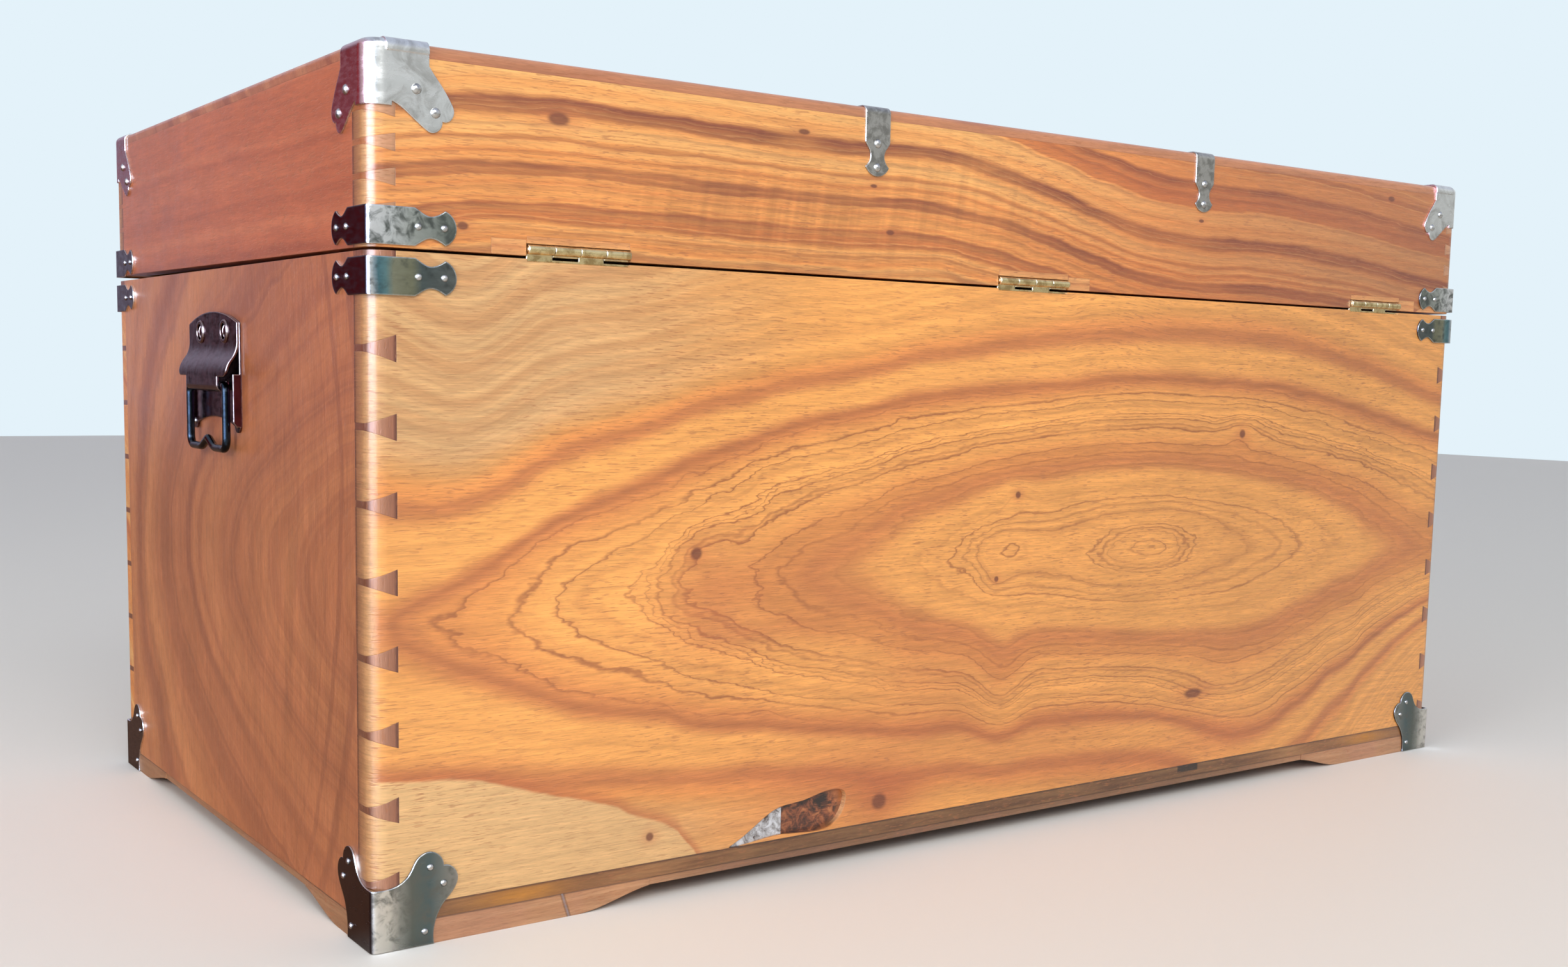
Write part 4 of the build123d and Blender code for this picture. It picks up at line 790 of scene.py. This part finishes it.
# Painted reflection: the lid straps' pale ramp stands in for the window they mirror, with a dark painted reflection
# on their end wings.
lid_strap_metal = metal(
    "lid_strap_steel", None, paint(102, 108, 104), rim_wear_and_highlight, 0.16, spread=(0.4, 0.68), wing=end_wing_reflection, folded=(
        (0, paint(246, 248, 250)), (10, paint(232, 236, 236)), (22, paint(190, 196, 190)), (45, paint(132, 140, 132)),
    ), clouds=(140.0, 0.6),
)
# Painted highlight beside the bracket's fold, and a dark painted reflection on its end wing.
bracket_metal = metal(
    "bracket_steel", None, paint(112, 116, 112), rim_wear_and_highlight, 0.2, spread=(0.42, 0.76), wing=paint(56, 46, 50), folded=(
        (0, paint(236, 236, 232)), (7, paint(218, 218, 212)), (13, paint(156, 160, 156)), (20, paint(108, 116, 112)),
        (30, paint(96, 114, 118)), (40, paint(138, 144, 142)), (52, paint(172, 170, 166)), (70, paint(142, 140, 136)),
    ),
)
# Painted reflection: the caps' end wings are pink from the red room they face.
cap_metal = metal(
    "cap_steel", paint(222, 224, 222), paint(184, 184, 180), paint(240, 240, 240), 0.24, spread=(0.4, 0.7),
    wing=paint(206, 168, 172), clouds=(70.0, 1.2),
)
edge_strap_metal = metal(
    "edge_strap_steel", paint(178, 176, 170), paint(140, 138, 132), paint(226, 224, 220), 0.24,
)
nail_metal = metal("nail_steel", paint(196, 196, 194), paint(140, 140, 142), paint(226, 224, 220), 0.2)
hinge_brass = metal("hinge_brass", paint(224, 204, 152), paint(182, 156, 106), paint(246, 236, 204), 0.26)
# Painted reflection: the handle's maroon flat and mottle stand in for the red room it mirrors.
handle_metal = metal(
    "handle_steel", paint(84, 44, 52), paint(66, 34, 42), paint(196, 178, 172), 0.17, spread=(0.4, 0.7),
)
bail_steel = metal("bail_steel", paint(40, 50, 60), paint(30, 36, 42), paint(124, 136, 148), 0.18)
print("metals ready")


# %% [markdown]
# A finish is given to a node by filling its list of material slots. Names that begin alike,
# such as the four corner straps, can be dressed in one go.

# %% Give the frame its finishes
def dress(material, *names):
    """Gives every named node one material."""
    for name in names:
        data = nodes[name].data
        data.materials.clear()
        data.materials.append(material)


def starting(*words):
    """The nodes whose names start with one of the words."""
    return [name for name in nodes if name.startswith(words)]


dress(back_wood, "back_board")
dress(lid_back_wood, "lid_back_rail", "lid_front_rail")
dress(end_wood, "right_end_board", "left_end_board")
dress(lid_end_wood, "lid_right_rail", "lid_left_rail")
dress(plain_wood, "front_board")
dress(bottom_wood, "bottom_board")
dress(top_wood, "lid_top_board")
dress(plinth_wood, "base_strips", *starting("foot_"))
dress(letin_wood, "letin_pieces")
dress(filler, "knot_filler")
dress(strap_metal, *starting("body_strap"))
dress(lid_strap_metal, *starting("lid_strap"))
dress(bracket_metal, *starting("bottom_bracket"))
dress(cap_metal, *starting("lid_cap"))
dress(edge_strap_metal, *starting("lid_edge_strap"))
dress(nail_metal, "body_nails", "lid_nails")
dress(hinge_brass, *starting("hinge_", "lock_"), "body_screws", "lid_screws")
dress(handle_metal, *starting("right_handle", "left_handle"), "handle_screws")
dress(edge_strap_metal, "escutcheon", "escutcheon_pins")
dress(bail_steel, "right_bail", "left_bail")
print("finishes on", sum(1 for name in nodes if nodes[name].data.materials), "nodes")

# %% [markdown]
# ## The studio
# A pale floor and a paler wall, with broad soft lamps, show a polished surface best. Polish
# shows what lies round it, so mirror rays see a room of their own: a bright side, a red far
# side and a darker floor. The camera and the soft light see plain pale tones instead.

# %% Floor and lights
floor_size = 12.0
bpy.ops.mesh.primitive_plane_add(size=floor_size, location=(0, 0, 0))
floor = bpy.context.object
floor.name = "floor"
floor_paint, tree = new_material("floor_paint")
mirrored = tree.nodes.new("ShaderNodeLightPath").outputs["Is Glossy Ray"]
place, x, y, z = own_place(tree)
# Painted shade: mirror rays see the floor near the trunk dark brown, as if in the trunk's shade.
mirrored_floor_shade = blend(tree, fade(tree, y, 0.2, 0.28), paint(128, 88, 60), paint(214, 208, 198))
floor_colour = blend(tree, mirrored, paint(226, 222, 216), mirrored_floor_shade)
finished(tree, floor_colour, 0.6, 0.5, tree.nodes.new("ShaderNodeNewGeometry").outputs["Normal"])
floor.data.materials.append(floor_paint)

world = bpy.data.worlds.new("room")
bpy.context.scene.world = world
world.use_nodes = True
world.node_tree.nodes.clear()
tree = world.node_tree
ray = tree.nodes.new("ShaderNodeLightPath")
direction = tree.nodes.new("ShaderNodeSeparateXYZ")
tree.links.new(tree.nodes.new("ShaderNodeTexCoord").outputs["Generated"], direction.inputs[0])
side, depth, height = direction.outputs[0], direction.outputs[1], direction.outputs[2]
room_colour = ramp(tree, fade(tree, height, -0.1, 0.8), (
    (0.0, paint(132, 122, 112)), (0.12, paint(214, 216, 216)),
    (0.5, paint(236, 240, 246)), (1.0, paint(206, 214, 236)),
))
cool_tone = paint(186, 180, 204)
deep_tone = paint(54, 22, 18)
red_tone = paint(156, 48, 56)
far_side = ramp(tree, side, (
    (0.0, cool_tone), (0.243, cool_tone), (0.262, deep_tone), (0.332, deep_tone), (0.352, red_tone),
    (0.66, red_tone), (0.8, cool_tone),
))
far_share = maths(tree, "MULTIPLY", fade(tree, depth, -0.45, -0.6), fade(tree, height, 0.6, 0.3))
room_colour = blend(tree, far_share, room_colour, far_side)
window = maths(tree, "MULTIPLY", fade(tree, depth, -0.1, 0.02), fade(tree, depth, 0.76, 0.64))
window = maths(tree, "MULTIPLY", window, fade(tree, side, 0.1, 0.2))
window = maths(tree, "MULTIPLY", window, fade(tree, height, 0.7, 0.5))
room_colour = blend(tree, window, room_colour, (10.5, 12.5, 17.0, 1.0))
shown_colour = blend(tree, ray.outputs["Is Camera Ray"], paint(236, 240, 244), paint(228, 242, 250))
shown_colour = blend(tree, ray.outputs["Is Glossy Ray"], shown_colour, room_colour)
shown_strength = fade(tree, ray.outputs["Is Camera Ray"], 0.0, 1.0, 0.62, 1.0)
shown_strength = maths(tree, "MAXIMUM", shown_strength, ray.outputs["Is Glossy Ray"])
background = tree.nodes.new("ShaderNodeBackground")
plug(tree, background.inputs["Color"], shown_colour)
plug(tree, background.inputs["Strength"], shown_strength)
world_output = tree.nodes.new("ShaderNodeOutputWorld")
tree.links.new(background.outputs[0], world_output.inputs[0])


def lamp(name, place, aim, size, power, colour=(1.0, 1.0, 1.0)):
    """A square soft lamp at a place, turned to face a point."""
    data = bpy.data.lights.new(name, "AREA")
    data.size = size
    data.energy = power
    data.color = colour
    made = bpy.data.objects.new(name, data)
    bpy.context.scene.collection.objects.link(made)
    made.location = place
    made.rotation_euler = (Vector(aim) - Vector(place)).to_track_quat("-Z", "Y").to_euler()
    return made


lamp("key", (0.9, 2.4, 2.0), (0.2, 0.25, 0.2), 1.6, 46.0)
lamp("window", (2.6, 0.9, 1.2), (0.475, 0.25, 0.25), 0.9, 22.0)
print("floor, room and two lamps ready")
